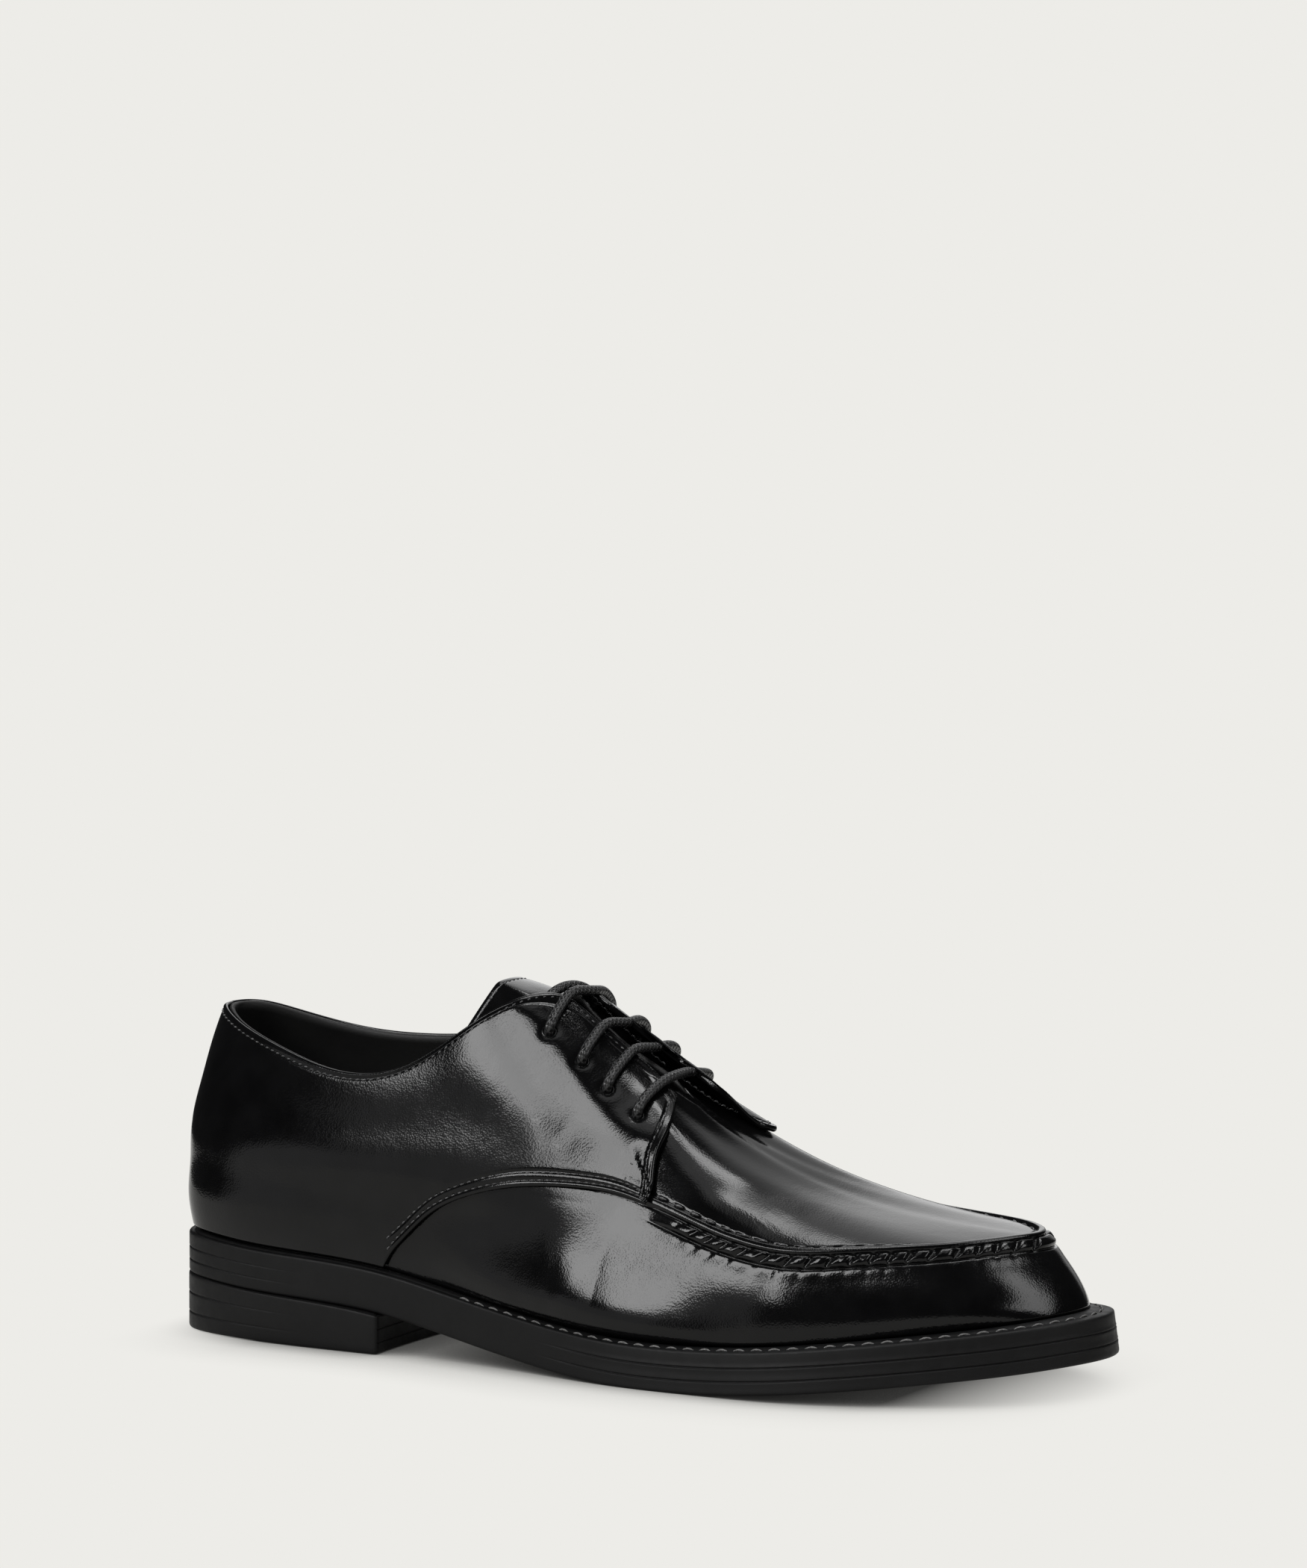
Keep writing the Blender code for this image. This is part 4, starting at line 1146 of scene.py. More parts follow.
def quarter_place(side, along, up):
    """Angle and level on a quarter: a four-sided patch between heel, top edge, front edge and lower edge.

    Each inner point is the sum of the two blends between opposite edges less the blend of the corners;
    the lower and front edges are splines through their tables.
    """
    lower = np.array(QUARTER_LOWER)
    front = np.array(QUARTER_FRONT if side < 0.0 else QUARTER_FRONT_MEDIAL)
    path = np.concatenate([[0.0], np.cumsum(np.hypot(np.diff(lower[:, 0]) / 18.0, np.diff(lower[:, 1])))])
    climb = np.concatenate([[0.0], np.cumsum(np.hypot(np.diff(front[:, 0]) / 40.0, np.diff(front[:, 1])))])
    low_at = spline(path / path[-1], lower)
    front_at = spline(climb / climb[-1], front)

    def low(a):
        ahead = low_at(np.clip((a - 0.5) / 0.5, 0.0, 1.0))
        angle = np.where(a < 0.5, 180.0 + (lower[0, 0] - 180.0) * a / 0.5, ahead[..., 0])
        return np.stack([angle, np.maximum(np.where(a < 0.5, 0.0, ahead[..., 1]), QUARTER_FOOT)], -1)

    def high(a):
        return np.stack([180.0 + (front[-1, 0] - 180.0) * a, 2.0 - (2.0 - front[-1, 1]) * a**8], -1)

    def back(b):
        return np.stack([np.full_like(b, 180.0), QUARTER_FOOT + (2.0 - QUARTER_FOOT) * b], -1)

    a, b = np.broadcast_arrays(np.asarray(along, float), np.asarray(up, float))
    zero, one = np.zeros_like(a), np.ones_like(a)
    u, v = a[..., None], b[..., None]
    at_back, at_front = ((1.0 - v) * low(end) + v * high(end) for end in (zero, one))
    corners = (1.0 - u) * at_back + u * at_front
    spot = (1.0 - v) * low(a) + v * high(a) + (1.0 - u) * back(b) + u * front_at(b) - corners
    return side * np.radians(spot[..., 0] - 0.12 * (1.0 - a) ** 12), np.clip(spot[..., 1], 0.0, 2.0)


def quarter_rates(side):
    """Millimetres across each edge of a quarter per share of the patch: lower, top and front edge."""
    share = np.linspace(0.0, 1.0, 241)
    step = 2e-3

    def cross_rate(edge, inward):
        tangent = unit(np.gradient(edge, axis=0))
        move = inward - edge
        flat = move - np.einsum("ij,ij->i", move, tangent)[:, None] * tangent
        return np.maximum(np.linalg.norm(flat, axis=1) / step, 5.0)

    def at(a, b):
        return last_point(*quarter_place(side, a, b))

    lower = cross_rate(at(share, 0.0 * share), at(share, 0.0 * share + step))
    top = cross_rate(at(share, 0.0 * share + 1.0), at(share, 0.0 * share + 1.0 - step))
    front = cross_rate(at(0.0 * share + 1.0, share), at(0.0 * share + 1.0 - step, share))
    return tuple((lambda s, r=rate: np.interp(s, share, r)) for rate in (lower, top, front))


def facing_share(angle, level):
    """1 on the facing and the tab, where the quarter is doubled, 0 on the rest of it."""
    return fade(104.0, 86.0, angle) * ease(1.02, 1.35, level)


def quarter_build(angle, level):
    """Thickness of the quarter and the gap under it: thicker at the facing, the inner facing lifted off."""
    share = facing_share(angle, level)
    inner = np.sin(angle) > 0.0
    return QUARTER_THICK + 0.5 * share, QUARTER_GAP + np.where(inner, 0.2, 0.0) * share


def quarter_top(angle, level):
    """Height of the quarter's outer face over the upper."""
    side = 1.0 if np.mean(np.sin(angle)) > 0.0 else -1.0
    plain = last_point(angle, level)
    folds = fold_relief(plain, QUARTER_FOLDS) + heel_swell(angle, level)
    return sum(quarter_build(angle, level)) + ridge_relief(side, angle, level, plain) + folds


def heel_swell(angle, level):
    """Fullness of the upper heel: a parabola between seam line and top edge, fading along the sides."""
    share = np.clip(level - 1.0, 0.0, 1.0)
    return HEEL_SWELL * fade(140.0, 172.0, angle) * 4.0 * share * (1.0 - share)


def flap_lift(side, angle, level, from_top, from_front):
    """How far the inner quarter's loose corner stands off: bell curves from its throat and front edges."""
    if side < 0.0:
        return np.zeros(np.shape(angle))
    throat = 1.2 * np.exp(-((from_top / 6.0) ** 2)) * fade(90.0, 70.0, angle)
    front = 4.2 * np.exp(-((from_front / 8.0) ** 2)) * ease(1.56, 1.80, level)
    return throat + front


def eyelet_frame(side, index):
    """Centre of an eyelet on the quarter's outer face and the outward direction there."""
    angle = np.array(side * math.radians(EYELETS[index][0]))
    level = np.array(EYELETS[index][1])
    return offset_point(angle, level, quarter_top(angle, level)), last_normal(angle, level)


def seam_bulge(angle, level, along):
    """Height of the quarter over the end of the apron seam: a bell curve across it, in the front half."""
    return 1.25 * bump((level - 1.0) * 34.0, -1.6, 4.2) * seam_cover(angle) * ease(0.5, 0.8, along)


def facing_depth(along):
    """Distance of the stitch row from the top edge: a smooth step up from the collar to the facing."""
    return 2.1 + 0.5 * ease(0.60, 0.72, along)


def quarter_piece(side):
    """One quarter: its patch lifted off the upper, rounded at the edges, with sunk stitch channels and
    dimples round the eyelets."""
    lower_rate, top_rate, front_rate = quarter_rates(side)
    edge = QUARTER_EDGE
    nominal_a = np.concatenate([np.linspace(0.0, 0.94, QUARTER_ALONG),
                                0.94 + 0.06 * np.linspace(0.0, 1.0, len(edge) + 1)[1:]])
    nominal_b = np.concatenate([np.linspace(0.0, 0.07, len(edge)), np.linspace(0.07, 0.93, QUARTER_UP)[1:-1],
                                np.linspace(0.93, 1.0, len(edge))])
    front = front_rate(nominal_b)[:, None]
    low = lower_rate(nominal_a)[None]
    top = top_rate(nominal_a)[None]
    fore = 1.0 - edge[::-1][None] / front
    back_part = np.concatenate([QUARTER_BACK, np.linspace(0.005, 1.0, QUARTER_ALONG + 1 - len(QUARTER_BACK))])
    along = np.concatenate([fore[:, :1] * back_part[None, :-1], fore], axis=1)
    under = edge[:, None] / low
    over = 1.0 - edge[::-1][:, None] / top
    middle = np.linspace(0.0, 1.0, QUARTER_UP)[1:-1, None]
    up = np.concatenate([under, under[-1:] * (1.0 - middle) + over[:1] * middle, over])
    angle, level = quarter_place(side, along, up)

    plain = last_point(angle, level)
    normal = last_normal(angle, level)
    from_low, from_top, from_front = up * low, (1.0 - up) * top, (1.0 - along) * front
    from_back = along * QUARTER_LENGTH
    full, gap = quarter_build(angle, level)
    thick = full * round_edge(np.minimum.reduce([from_low, from_top, from_front, from_back]), EDGE_ROUND)
    groove = -0.36 * ease(0.52, 0.56, along) * sum(bump(from_low, row, 0.42) for row in LOWER_STITCHES)
    inside = ease(2.0, 3.2, from_top) * ease(1.2, 2.6, from_low)
    groove = groove - 0.26 * bump(from_front, FRONT_STITCH, 0.5) * inside
    groove = groove - 0.22 * bump(from_top, facing_depth(along), 0.55) * ease(0.5, 2.6, from_front)
    groove = groove + 0.16 * bump(np.minimum(from_top, from_front), 0.75, 0.35)
    spots = [eyelet_frame(side, index)[0] for index in range(len(EYELETS))]
    face = plain + (full + gap + ridge_relief(side, angle, level, plain))[..., None] * normal
    dimple = sum(-0.75 * np.exp(-((np.linalg.norm(face - spot, axis=-1) / 2.1) ** 2)) for spot in spots)
    lift = gap + full / 2.0 + seam_bulge(angle, level, along) + ridge_relief(side, angle, level, plain)
    lift = lift + flap_lift(side, angle, level, from_top, from_front)
    lift = lift + fold_relief(plain, QUARTER_FOLDS) + heel_swell(angle, level)
    outer = plain + (lift + thick / 2.0 + (groove + dimple) * thick / full)[..., None] * normal
    inner = plain + (lift - thick / 2.0)[..., None] * normal
    name = "lateral" if side < 0.0 else "medial"
    return new_piece("quarter_panel_" + name, *pillow(outer, inner), ("leather",), "leather",
                     ("quarter_" + name,))


def quarter_rows(side, holes=False):
    """Stitch rows of one quarter: two along the lower edge, one on the front edge, one on facing and collar,
    and a small box tack in the lower front corner; or the needle holes between those stitches."""
    lower_rate, top_rate, front_rate = quarter_rates(side)
    pitch = sizes()["stitch_pitch"]
    rows = []

    def row(along, up, lean=0.0):
        angle, level = quarter_place(side, along, up)
        path = offset_point(angle, level, quarter_top(angle, level) - 0.1 + seam_bulge(angle, level, along))
        shape = (*NEEDLE_HOLE, -0.18, 0.0) if holes else (*UPPER_STITCH, 0.06, lean)
        rows.append(stitches(path, last_normal(angle, level), pitch, *shape, holes))

    share = np.linspace(0.0, 1.0, 700)
    front_low = front_rate(np.array(0.02))
    for distance, end in zip(LOWER_STITCHES, (2.4, 4.4)):
        along = 0.53 + (1.0 - end / front_low - 0.53) * share
        row(along, distance / lower_rate(along))
    start, stop = 2.2 / lower_rate(np.array(0.99)), 1.0 - FRONT_STITCH / top_rate(np.array(0.98))
    up = start + (stop - start) * share
    row(1.0 - FRONT_STITCH / front_rate(up), up, 0.12)
    along = 0.004 + (1.0 - FRONT_STITCH / front_rate(np.array(0.99)) - 0.004) * share
    row(along, 1.0 - facing_depth(along) / top_rate(along), 0.16)
    deep = lower_rate(np.array(0.985))
    wide = front_rate(np.array(0.06))
    for height, first, last in ((5.6, 8.5, 2.8), (9.2, 9.5, 3.0)):
        row(1.0 - (first + (last - first) * share) / wide, np.full_like(share, height / deep))
    row(np.full_like(share, 1.0 - 8.7 / wide), (3.8 + 1.8 * share) / deep)
    return rows


# Rolled rim of an eyelet: its radius and the radius of its roll; the raw hole's rings: radius and depth.
RIM_REACH = 2.02
RIM_ROUND = 0.34
RIM_GRID = (28, 8)
HOLE_RINGS = ((0.2, 1.1), (1.0, 1.0), (1.6, 0.75), (1.9, 0.5), (1.9, 1.2), (0.2, 1.6))
HOLE_SIDES = 24


def eyelet_spokes(count):
    """For each eyelet of both quarters: its centre, its outward direction and unit spokes square to that."""
    turn = 2.0 * PI * np.arange(count)[:, None] / count
    for side in (-1.0, 1.0):
        for index in range(len(EYELETS)):
            centre, out = eyelet_frame(side, index)
            first = unit(np.cross(out, (1.0, 0.0, 0.0)))
            yield centre, out, np.cos(turn) * first + np.sin(turn) * np.cross(out, first)


def eyelet_rims():
    """Rolled leather rims round the eyelets: a small circle carried round a larger one, as one mesh."""
    around, sides_count = RIM_GRID
    small = 2.0 * PI * np.arange(sides_count)[:, None] / sides_count
    reach, rise = RIM_REACH + RIM_ROUND * np.cos(small), RIM_ROUND * np.sin(small)
    points = np.stack([centre - RIM_ROUND * out + reach * spoke[:, None] + rise * out
                       for centre, out, spoke in eyelet_spokes(around)])
    faces = repeated(tube_grid(*RIM_GRID, True), len(points))
    return new_piece("eyelet_rims", points, faces, ("leather",), "leather")


def eyelet_holes():
    """Raw insides of the eyelets: shallow closed bowls, each a disc of rings sunk towards its middle."""
    points = np.stack([[centre - depth * out + reach * spoke for reach, depth in HOLE_RINGS]
                       for centre, out, spoke in eyelet_spokes(HOLE_SIDES)])
    bowl = capped_tube(len(HOLE_RINGS), HOLE_SIDES)
    return new_piece("eyelet_holes", points, repeated(bowl, len(points)), ("hole",), "leather")


# Tongue, lace and apron stitches

def tongue_surface(station, across):
    """Tongue's outer face: the centre line from the table, its sides dropping by a square law below;
    near the top it is nearly flat between two rounded bends and its flanks drop evenly."""
    knots = np.linspace(0.0, 1.0, len(TONGUE_ROWS))
    x, z, half, drop, tilt = (spline(knots, column(TONGUE_ROWS, TONGUE_COLUMNS, name))(station)
                              for name in TONGUE_COLUMNS)
    past = np.abs(across) - TONGUE_BEND
    ramp = (past + np.hypot(past, 0.05)) / (1.0 - TONGUE_BEND + math.hypot(1.0 - TONGUE_BEND, 0.05))
    upper = ease(0.45, 0.80, station)
    fall = drop * (across**2 * (1.0 - 0.85 * upper) + 0.85 * ramp * upper)
    lean = np.radians(tilt)
    return np.stack(np.broadcast_arrays(
        x - fall * np.sin(lean), half * across * (1.0 - 0.08 * across**2), z - fall * np.cos(lean)), -1)


def tongue_normal(station, across):
    """Outward unit normal of the tongue's face."""
    step = 1e-3
    a = tongue_surface(station + step, across) - tongue_surface(station - step, across)
    b = tongue_surface(station, across + step) - tongue_surface(station, across - step)
    return unit(np.cross(b, a))


TONGUE_RUN = 82.0
TONGUE_HALF = 20.0
TONGUE_STITCH = 2.8
TONGUE_EDGE = np.array([*EDGE_ROLL, 1.4, 1.8, 2.2, 2.5, 2.8, 3.1, 3.4, 3.8, 4.4])


def tongue_piece():
    """Tongue: its face with a rounded folded border and a sunk stitch channel all round."""
    edge, half = TONGUE_EDGE, TONGUE_HALF
    rise = np.linspace(0.0, 1.0 - 4.8 / TONGUE_RUN, 66)
    station = np.concatenate([rise, 1.0 - edge[::-1] / TONGUE_RUN])[:, None]
    across = np.concatenate([edge / half - 1.0, np.linspace(-1.0 + 5.0 / half, 1.0 - 5.0 / half, 44),
                             1.0 - edge[::-1] / half])[None]
    station, across = np.broadcast_arrays(station, across)
    from_side = (1.0 - np.abs(across)) * half
    from_top = (1.0 - station) * TONGUE_RUN
    from_edge = np.minimum.reduce([from_side, from_top, station * TONGUE_RUN])
    thick = TONGUE_THICK * round_edge(from_edge, EDGE_ROUND)
    groove = -0.16 * bump(np.minimum(from_side, from_top), TONGUE_STITCH, 0.5)
    plain = tongue_surface(station, across)
    normal = tongue_normal(station, across)
    outer = plain + (-TONGUE_THICK / 2.0 + thick / 2.0 + groove * thick / TONGUE_THICK)[..., None] * normal
    inner = plain + (-TONGUE_THICK / 2.0 - thick / 2.0)[..., None] * normal
    return new_piece("tongue_leather", *pillow(outer, inner), ("leather",), "leather", ("tongue",))


def tongue_row():
    """Stitch row along the tongue's sides and top, in its sunk channel."""
    top = 1.0 - TONGUE_STITCH / TONGUE_RUN
    side = 1.0 - TONGUE_STITCH / TONGUE_HALF
    rise = np.linspace(0.35, top, 240)
    over = np.linspace(-side, side, 240)
    station = np.concatenate([rise, np.full(238, top), rise[::-1]])
    across = np.concatenate([np.full(240, -side), over[1:-1], np.full(240, side)])
    return stitches(tongue_surface(station, across), tongue_normal(station, across),
                    sizes()["stitch_pitch"], *UPPER_STITCH, -0.04)


LACE_END = (
    (-28.0, -11.5, 105.5), (-27.0, -7.5, 109.0), (-24.2, 1.5, 111.7), (-21.8, 8.0, 109.6),
    (-20.0, 12.0, 105.0),
)
LACE_SIDES = 20
# Room under the lace over the facing and at its edge: outer side, inner side.
LACE_SLACK = ((0.3, 0.3), (1.1, 0.9))
# The lace's way out of an eyelet: millimetres out of its face, and towards the other side.
LACE_RISE = ((-4.2, 0.0), (-1.6, 0.1), (0.7, 0.7))


def lace_route(index):
    """Middle line of one lace bar, a spline: out of the outer eyelet, over the gap, into the inner eyelet."""
    radius = sizes()["lace_diameter"] / 2.0
    flanks = []
    for side, edge, slack in zip((-1.0, 1.0), LACE_EDGE, LACE_SLACK):
        centre, out = eyelet_frame(side, index)
        angle = np.full(2, side * math.radians(EYELETS[index][0]))
        level = np.full(2, EYELETS[index][1])
        foot = last_point(angle, level)
        reach = np.array([0.68, edge / abs(foot[0, 1])])
        angle, level = over_plan(foot[:, 0], foot[:, 1] * reach, angle, level)
        flank = offset_point(angle, level, quarter_top(angle, level) + radius + np.array(slack))
        inward = unit(flank[0] - centre)
        start = np.stack([centre + rise * out + over * inward for rise, over in LACE_RISE])
        flanks.append(np.concatenate([start, flank]))
    crest = (flanks[0][-1] + flanks[1][-1]) / 2.0 + (0.0, 0.0, 0.3)
    points = np.concatenate([flanks[0], crest[None], flanks[1][::-1]])
    run = arc_length(points)
    return spline(run, points)(np.linspace(0.0, run[-1], 150))


def lace_end():
    """Middle line of the lace's short end, a spline over the tongue from one facing to the other."""
    run = arc_length(np.array(LACE_END))
    return spline(run, np.array(LACE_END))(np.linspace(0.0, run[-1], 90))


def lace_piece():
    """Lace: the round bars and the short end, each a circle carried along its route, closed, as one mesh."""
    radius = sizes()["lace_diameter"] / 2.0
    bars = range(len(EYELETS))
    points, faces, uvs = [], [], []
    for path in (*(lace_route(index) for index in bars), lace_end()):
        rings, uv = tube(path, radius, LACE_SIDES, np.array((1.0, 0.0, 0.3)))
        faces.append(capped_tube(len(rings), LACE_SIDES) + sum(len(p) for p in points))
        points.append(rings.reshape(-1, 3))
        uvs.append(uv.reshape(-1, 2))
    return new_piece("lace", np.concatenate(points), np.concatenate(faces), ("lace",), "cord",
                     tuple("lace_bar_%d" % (k + 1) for k in bars), uv=np.concatenate(uvs))


def apron_row():
    """Stitches sunk along the apron just inside its lip."""
    angle = np.linspace(-math.radians(83.0), math.radians(83.0), 1600)
    rate, _ = seam_rates(angle, SEAM_STEP)
    level = 1.0 + PLUG_STITCH / rate
    path = offset_point(angle, level, np.full_like(angle, -0.12))
    return stitches(path, last_normal(angle, level), sizes()["gather_pitch"], *APRON_STITCH, 0.0, 0.1)


# Stage

# Angles in degrees, distance in millimetres, focal length in pixels of the photograph.
CAMERA = {"azimuth": 27.8505, "elevation": 8.3847, "distance": 1767.13, "focal": 7744.8,
          "yaw": 0.1357, "pitch": 4.1907, "roll": 0.1907}
PHOTO_HEIGHT = 2100.0
SENSOR = 36.0
AIM_HEIGHT = 45.0

# Light in the studio, by direction, in degrees: azimuth (from +X towards +Y) of the left and right edge at
# the lower edge, how far each edge moves per degree of elevation, lowest and highest elevation,
# softness of the edges, then strength.
SOFTBOXES = (
    ("side box", 232.8, 247.0, -0.45, 0.0, 23.5, 43.0, 2.2, 17.8),
    ("side box right", 247.0, 256.5, 0.0, 1.0, 27.5, 43.0, 3.2, 16.5),
    ("side box top", 247.0, 272.0, 0.9, 1.0, 43.0, 60.0, 2.2, 17.6),
    ("side box foot", 251.5, 258.0, 0.0, 0.0, 18.0, 29.0, 1.5, 15.0),
    ("toe box", 338.0, 358.0, 0.85, 0.9, 20.0, 62.0, 3.5, 7.2),
    ("rear box", 60.0, 97.0, -1.0, 0.0, 63.5, 75.5, 4.0, 12.5),
    ("top box", 100.0, 137.0, 0.0, 0.0, 68.0, 82.0, 6.0, 11.5),
    ("backdrop", 86.0, 124.0, 0.0, 0.0, 3.0, 75.0, 6.0, 0.75),
    ("backdrop front", 108.0, 124.0, 0.0, 0.0, 3.0, 68.0, 3.0, 0.95),
    ("side wall", 200.5, 250.0, 1.05, 0.0, -10.0, 13.0, 2.0, 0.86),
    ("side wall top", 231.8, 250.0, 0.0, 0.0, 13.0, 25.0, 1.5, 0.86),
    ("rear rim", 165.0, 195.0, 0.0, 0.0, -22.0, -7.0, 2.5, 1.5),
    ("ceiling", -180.0, 180.0, 0.0, 0.0, 77.0, 91.0, 5.0, 1.7),
)
DIM_ROOM = 0.03
# Contact shadow: reach in metres and the light left where nothing but the shoe is overhead.
CONTACTS = ((0.014, 0.06), (0.042, 0.18))
# The floor's shade is full from heel to ball and fades out past the heel's back and at the toe: spans of x.
SHADE_BACK = (-0.162, -0.115)
SHADE_TOE = (0.100, 0.160)
FLOOR_RINGS = (0.02, 0.1, 0.2, 0.35, 0.5, 0.7)
FLOOR_SIDES = 96
FLOOR_DROP = 0.0002


def make_camera():
    """Camera of the photograph: placed on a sphere round the shoe, aimed by yaw, pitch and roll."""
    a, e = math.radians(CAMERA["azimuth"]), math.radians(CAMERA["elevation"])
    back = np.array((math.sin(a) * math.cos(e), -math.cos(a) * math.cos(e), math.sin(e)))
    right = np.array((math.cos(a), math.sin(a), 0.0))
    place = np.array((0.0, 0.0, AIM_HEIGHT)) + CAMERA["distance"] * back
    aim = unit(-back + math.tan(math.radians(CAMERA["yaw"])) * right
               + math.tan(math.radians(CAMERA["pitch"])) * np.cross(back, right))
    right = unit(np.cross(aim, (0.0, 0.0, 1.0)))
    up = np.cross(right, aim)
    roll = math.radians(CAMERA["roll"])
    right, up = right * math.cos(roll) + up * math.sin(roll), up * math.cos(roll) - right * math.sin(roll)
    data = bpy.data.cameras.new("photo_camera")
    data.sensor_width = SENSOR
    data.lens = CAMERA["focal"] / PHOTO_HEIGHT * SENSOR
    data.clip_start, data.clip_end = 0.05, 50.0
    camera = bpy.data.objects.new("photo_camera", data)
    turn = Matrix((right, up, -aim)).transposed().to_4x4()
    camera.matrix_world = Matrix.Translation(Vector(metres(place))) @ turn
    bpy.context.scene.collection.objects.link(camera)
    bpy.context.scene.camera = camera


def make_world():
    """Studio: the backdrop in the floor's colour for the camera; for light and reflections a dim room with
    soft boxes, each a smooth step between two leaning edges in azimuth times one in elevation."""
    world = bpy.data.worlds.new("studio")
    world.use_nodes = True
    world.node_tree.nodes.clear()
    n = Nodes(world.node_tree)
    split = n.add("ShaderNodeSeparateXYZ")
    n.join(n.add("ShaderNodeTexCoord").outputs["Generated"], split.inputs["Vector"])
    x, y, z = (split.outputs[axis] for axis in "XYZ")
    rise = n.math("ARCSINE", z)
    light = None
    for _, left, right, left_lean, right_lean, low, high, soft, strength in SOFTBOXES:
        middle, half = math.radians((left + right) / 2.0), math.radians((right - left) / 2.0)
        low, high, soft = math.radians(low), math.radians(high), math.radians(soft)
        c, s = math.cos(middle), math.sin(middle)
        ahead = n.math("ADD", n.math("MULTIPLY", x, c), n.math("MULTIPLY", y, s))
        aside = n.math("SUBTRACT", n.math("MULTIPLY", y, c), n.math("MULTIPLY", x, s))
        swing = n.math("ARCTAN2", aside, ahead)
        climb = n.math("SUBTRACT", rise, low)
        from_left, from_right = (n.math("SUBTRACT", swing, n.math("MULTIPLY", climb, lean))
                                 for lean in (left_lean, right_lean))
        edges = ((from_left, -half, soft), (from_right, half, -soft), (rise, low, soft), (rise, high, -soft))
        steps = [n.spread(way, edge - part, edge + part, curve="SMOOTHSTEP") for way, edge, part in edges]
        box = steps[0]
        for share in (*steps[1:], strength):
            box = n.math("MULTIPLY", box, share)
        light = box if light is None else n.math("ADD", light, box)
    seen = n.add("ShaderNodeBackground", Color=colour("floor"))
    unseen = n.add("ShaderNodeBackground")
    n.join(n.math("ADD", light, DIM_ROOM), unseen.inputs["Strength"])
    mix = n.add("ShaderNodeMixShader")
    n.join(n.add("ShaderNodeLightPath").outputs["Is Camera Ray"], mix.inputs["Fac"])
    n.join(unseen.outputs["Background"], mix.inputs[1])
    n.join(seen.outputs["Background"], mix.inputs[2])
    n.join(mix.outputs["Shader"], n.add("ShaderNodeOutputWorld").inputs["Surface"])
    bpy.context.scene.world = world


def floor_paint():
    """Pale studio floor in the backdrop's even glow, darker where the shoe shuts out the room above it."""
    p = Paint("pale_floor")
    tint = colour("floor")
    shares = []
    for reach, dark in CONTACTS:
        open_share = p.add("ShaderNodeAmbientOcclusion", samples=8, Distance=reach)
        shares.append(p.spread(open_share.outputs["AO"], 0.0, 0.97, dark, 1.0))
    glow = p.add("ShaderNodeEmission", Color=tint)
    spot = p.add("ShaderNodeSeparateXYZ")
    p.join(p.place(), spot.inputs["Vector"])
    under = p.math("MULTIPLY", p.spread(spot.outputs["X"], *SHADE_BACK, 0.0, 1.0),
                   p.spread(spot.outputs["X"], *SHADE_TOE, 1.0, 0.0))
    shadow = p.math("MULTIPLY", p.math("SUBTRACT", 1.0, p.math("MULTIPLY", *shares)), under)
    p.join(p.math("SUBTRACT", 1.0, shadow), glow.inputs["Strength"])
    p.join(glow.outputs["Emission"], p.tree.nodes["Material Output"].inputs["Surface"])
    return p.material


def make_floor():
    """Round floor: a flat disc of rings in metres; past it the camera sees the backdrop's same colour."""
    turn = 2.0 * PI * np.arange(FLOOR_SIDES) / FLOOR_SIDES
    reach = np.array(FLOOR_RINGS)[:, None]
    x, y = reach * np.cos(turn), reach * np.sin(turn)
    faces = np.concatenate([tube_grid(*x.shape), ladder(np.arange(FLOOR_SIDES))])[:, ::-1]
    mesh = bpy.data.meshes.new("studio_floor")
    mesh.from_pydata(np.stack([x, y, 0.0 * x], -1).reshape(-1, 3), [], faces)
    mesh.materials.append(floor_paint())
    floor = bpy.data.objects.new("studio_floor", mesh)
    floor.location.z = -FLOOR_DROP
    bpy.context.scene.collection.objects.link(floor)


# Operators and panel

class SHOE_OT_stage(bpy.types.Operator):
    """Set the camera, the floor and the studio with its soft boxes"""

    bl_idname = "shoe.stage"
    bl_label = "Stage"

    def execute(self, context):
        make_camera()
        make_world()
        make_floor()
        context.scene.view_settings.view_transform = "Standard"
        return {"FINISHED"}


class SHOE_OT_sole(bpy.types.Operator):
    """Build the sole unit and the heel block"""

    bl_idname = "shoe.sole"
    bl_label = "Sole and heel"

    def execute(self, context):
        sole_piece()
        heel_piece()
        return {"FINISHED"}


class SHOE_OT_insole(bpy.types.Operator):
    """Build the footbed"""

    bl_idname = "shoe.insole"
    bl_label = "Insole"

    def execute(self, context):
        insole_piece()
        return {"FINISHED"}


class SHOE_OT_upper(bpy.types.Operator):
    """Build the vamp with its gathered apron seam and the lining"""

    bl_idname = "shoe.upper"
    bl_label = "Upper"

    def execute(self, context):
        upper_piece()
        return {"FINISHED"}


class SHOE_OT_quarters(bpy.types.Operator):
    """Build both quarters with their eyelets"""

    bl_idname = "shoe.quarters"
    bl_label = "Quarters and eyelets"

    def execute(self, context):
        for side in (-1.0, 1.0):
            quarter_piece(side)
        eyelet_rims()
        eyelet_holes()
        return {"FINISHED"}


class SHOE_OT_tongue(bpy.types.Operator):
    """Build the tongue"""

    bl_idname = "shoe.tongue"
    bl_label = "Tongue"

    def execute(self, context):
        tongue_piece()
        return {"FINISHED"}


class SHOE_OT_lace(bpy.types.Operator):
    """Run the lace through the eyelets"""

    bl_idname = "shoe.lace"
    bl_label = "Lace"

    def execute(self, context):
        lace_piece()
        return {"FINISHED"}


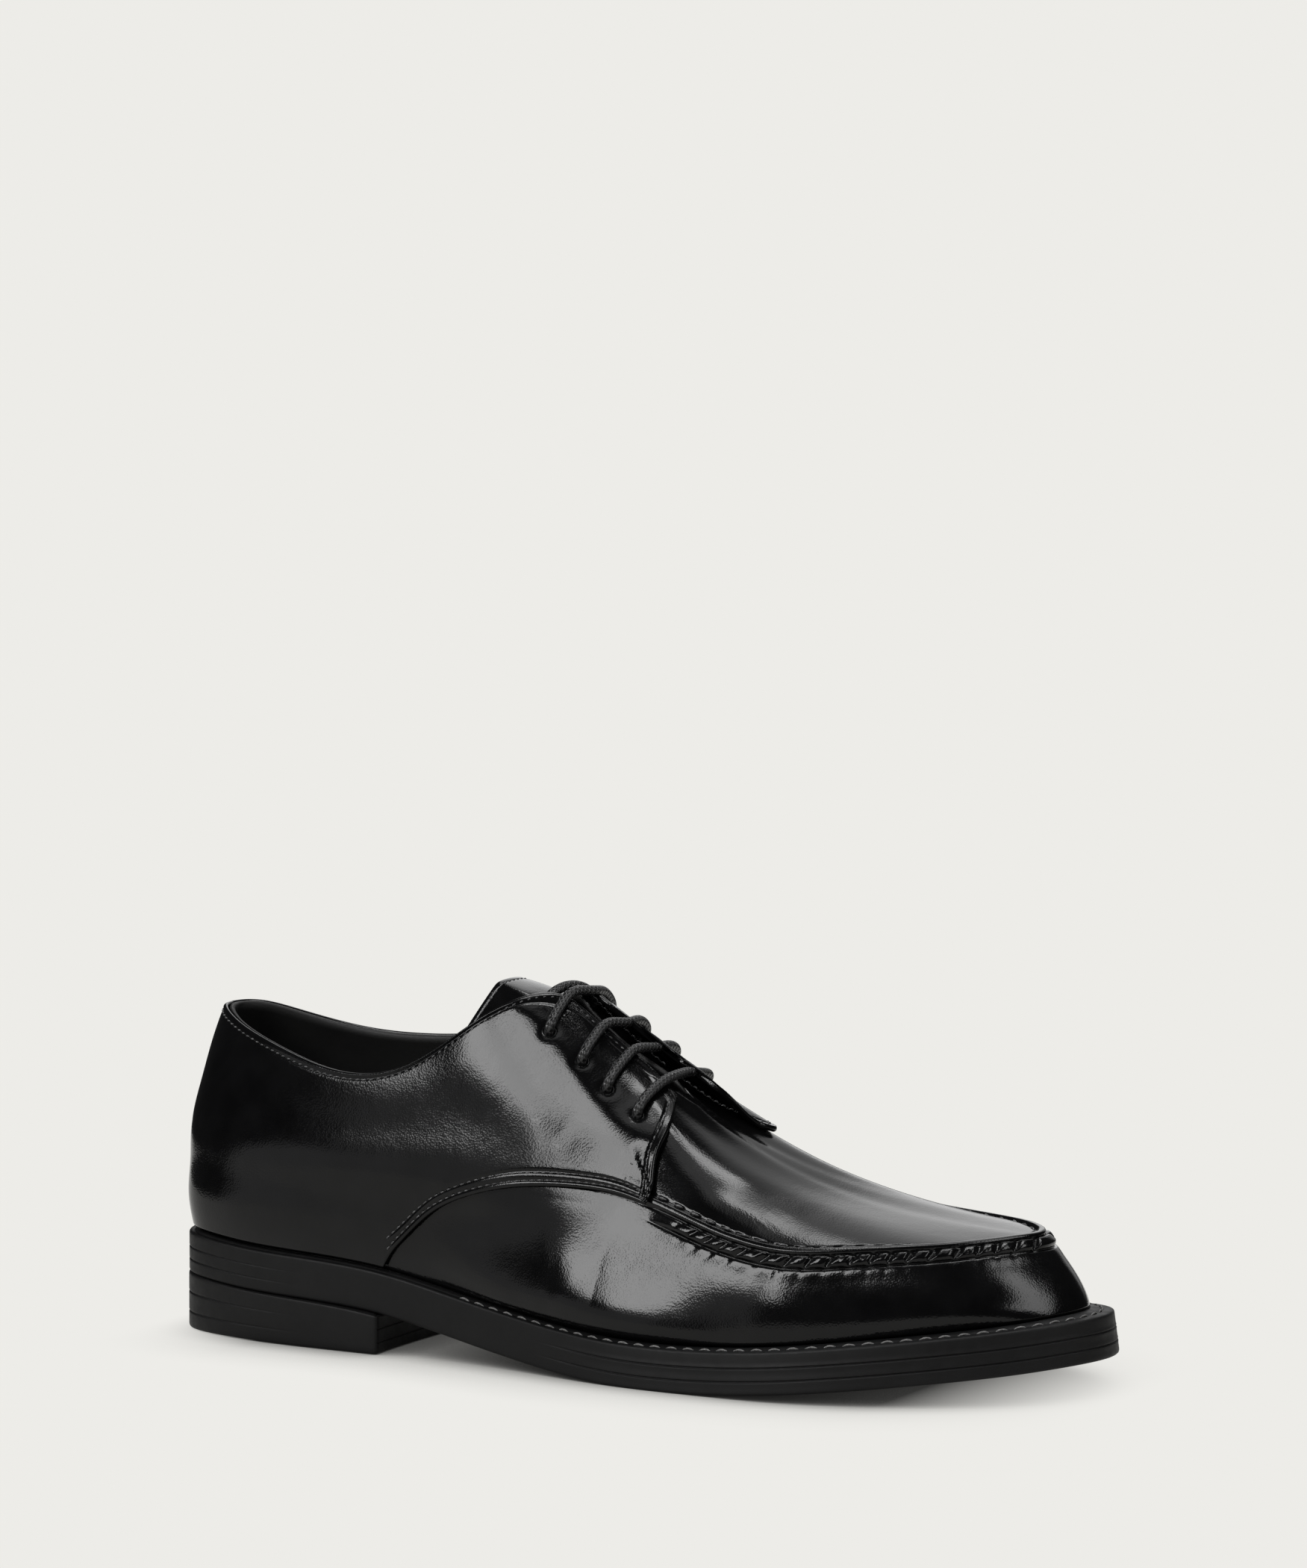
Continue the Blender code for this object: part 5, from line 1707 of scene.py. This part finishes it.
class SHOE_OT_stitching(bpy.types.Operator):
    """Sew the quarters, the apron, the tongue and the welt"""

    bl_idname = "shoe.stitching"
    bl_label = "Stitching"

    def execute(self, context):
        for name, rows, finish, slot in (
            ("stitching_upper", [*quarter_rows(-1.0), *quarter_rows(1.0), tongue_row()], "thread", "cord"),
            ("needle_holes", [*quarter_rows(-1.0, True), *quarter_rows(1.0, True)], "hole", "leather"),
            ("stitching_apron", [apron_row()], "thread", "cord"),
            ("stitching_welt", [welt_stitch_row()], "welt_thread", "cord"),
        ):
            new_piece(name, *stitch_mesh(rows), (finish,), slot)
        return {"FINISHED"}


BUILD_STEPS = (SHOE_OT_stage, SHOE_OT_sole, SHOE_OT_insole, SHOE_OT_upper, SHOE_OT_quarters, SHOE_OT_tongue,
               SHOE_OT_lace, SHOE_OT_stitching)


class SHOE_PT_panel(bpy.types.Panel):
    """Build steps, sizes and colours of the shoe"""

    bl_idname = "SHOE_PT_panel"
    bl_label = "Lace-up shoe"
    bl_space_type = "VIEW_3D"
    bl_region_type = "UI"
    bl_category = "Shoe"

    def draw(self, context):
        for step in BUILD_STEPS:
            self.layout.operator(step.bl_idname)
        for group in (context.scene.shoe_sizes, context.scene.shoe_colours):
            box = self.layout.box()
            for name in type(group).__annotations__:
                box.prop(group, name)


CLASSES = (ShoeSizes, ShoeColours, *BUILD_STEPS, SHOE_PT_panel)


def register():
    """Add the classes and the scene's two groups of values."""
    for item in CLASSES:
        bpy.utils.register_class(item)
    bpy.types.Scene.shoe_sizes = PointerProperty(type=ShoeSizes)
    bpy.types.Scene.shoe_colours = PointerProperty(type=ShoeColours)


def unregister():
    """Take away what register added."""
    del bpy.types.Scene.shoe_colours
    del bpy.types.Scene.shoe_sizes
    for item in reversed(CLASSES):
        bpy.utils.unregister_class(item)


def main():
    """Build the shoe and its stage in order."""
    register()
    for step in BUILD_STEPS:
        group, name = step.bl_idname.split(".")
        getattr(getattr(bpy.ops, group), name)()


if __name__ == "__main__":
    main()
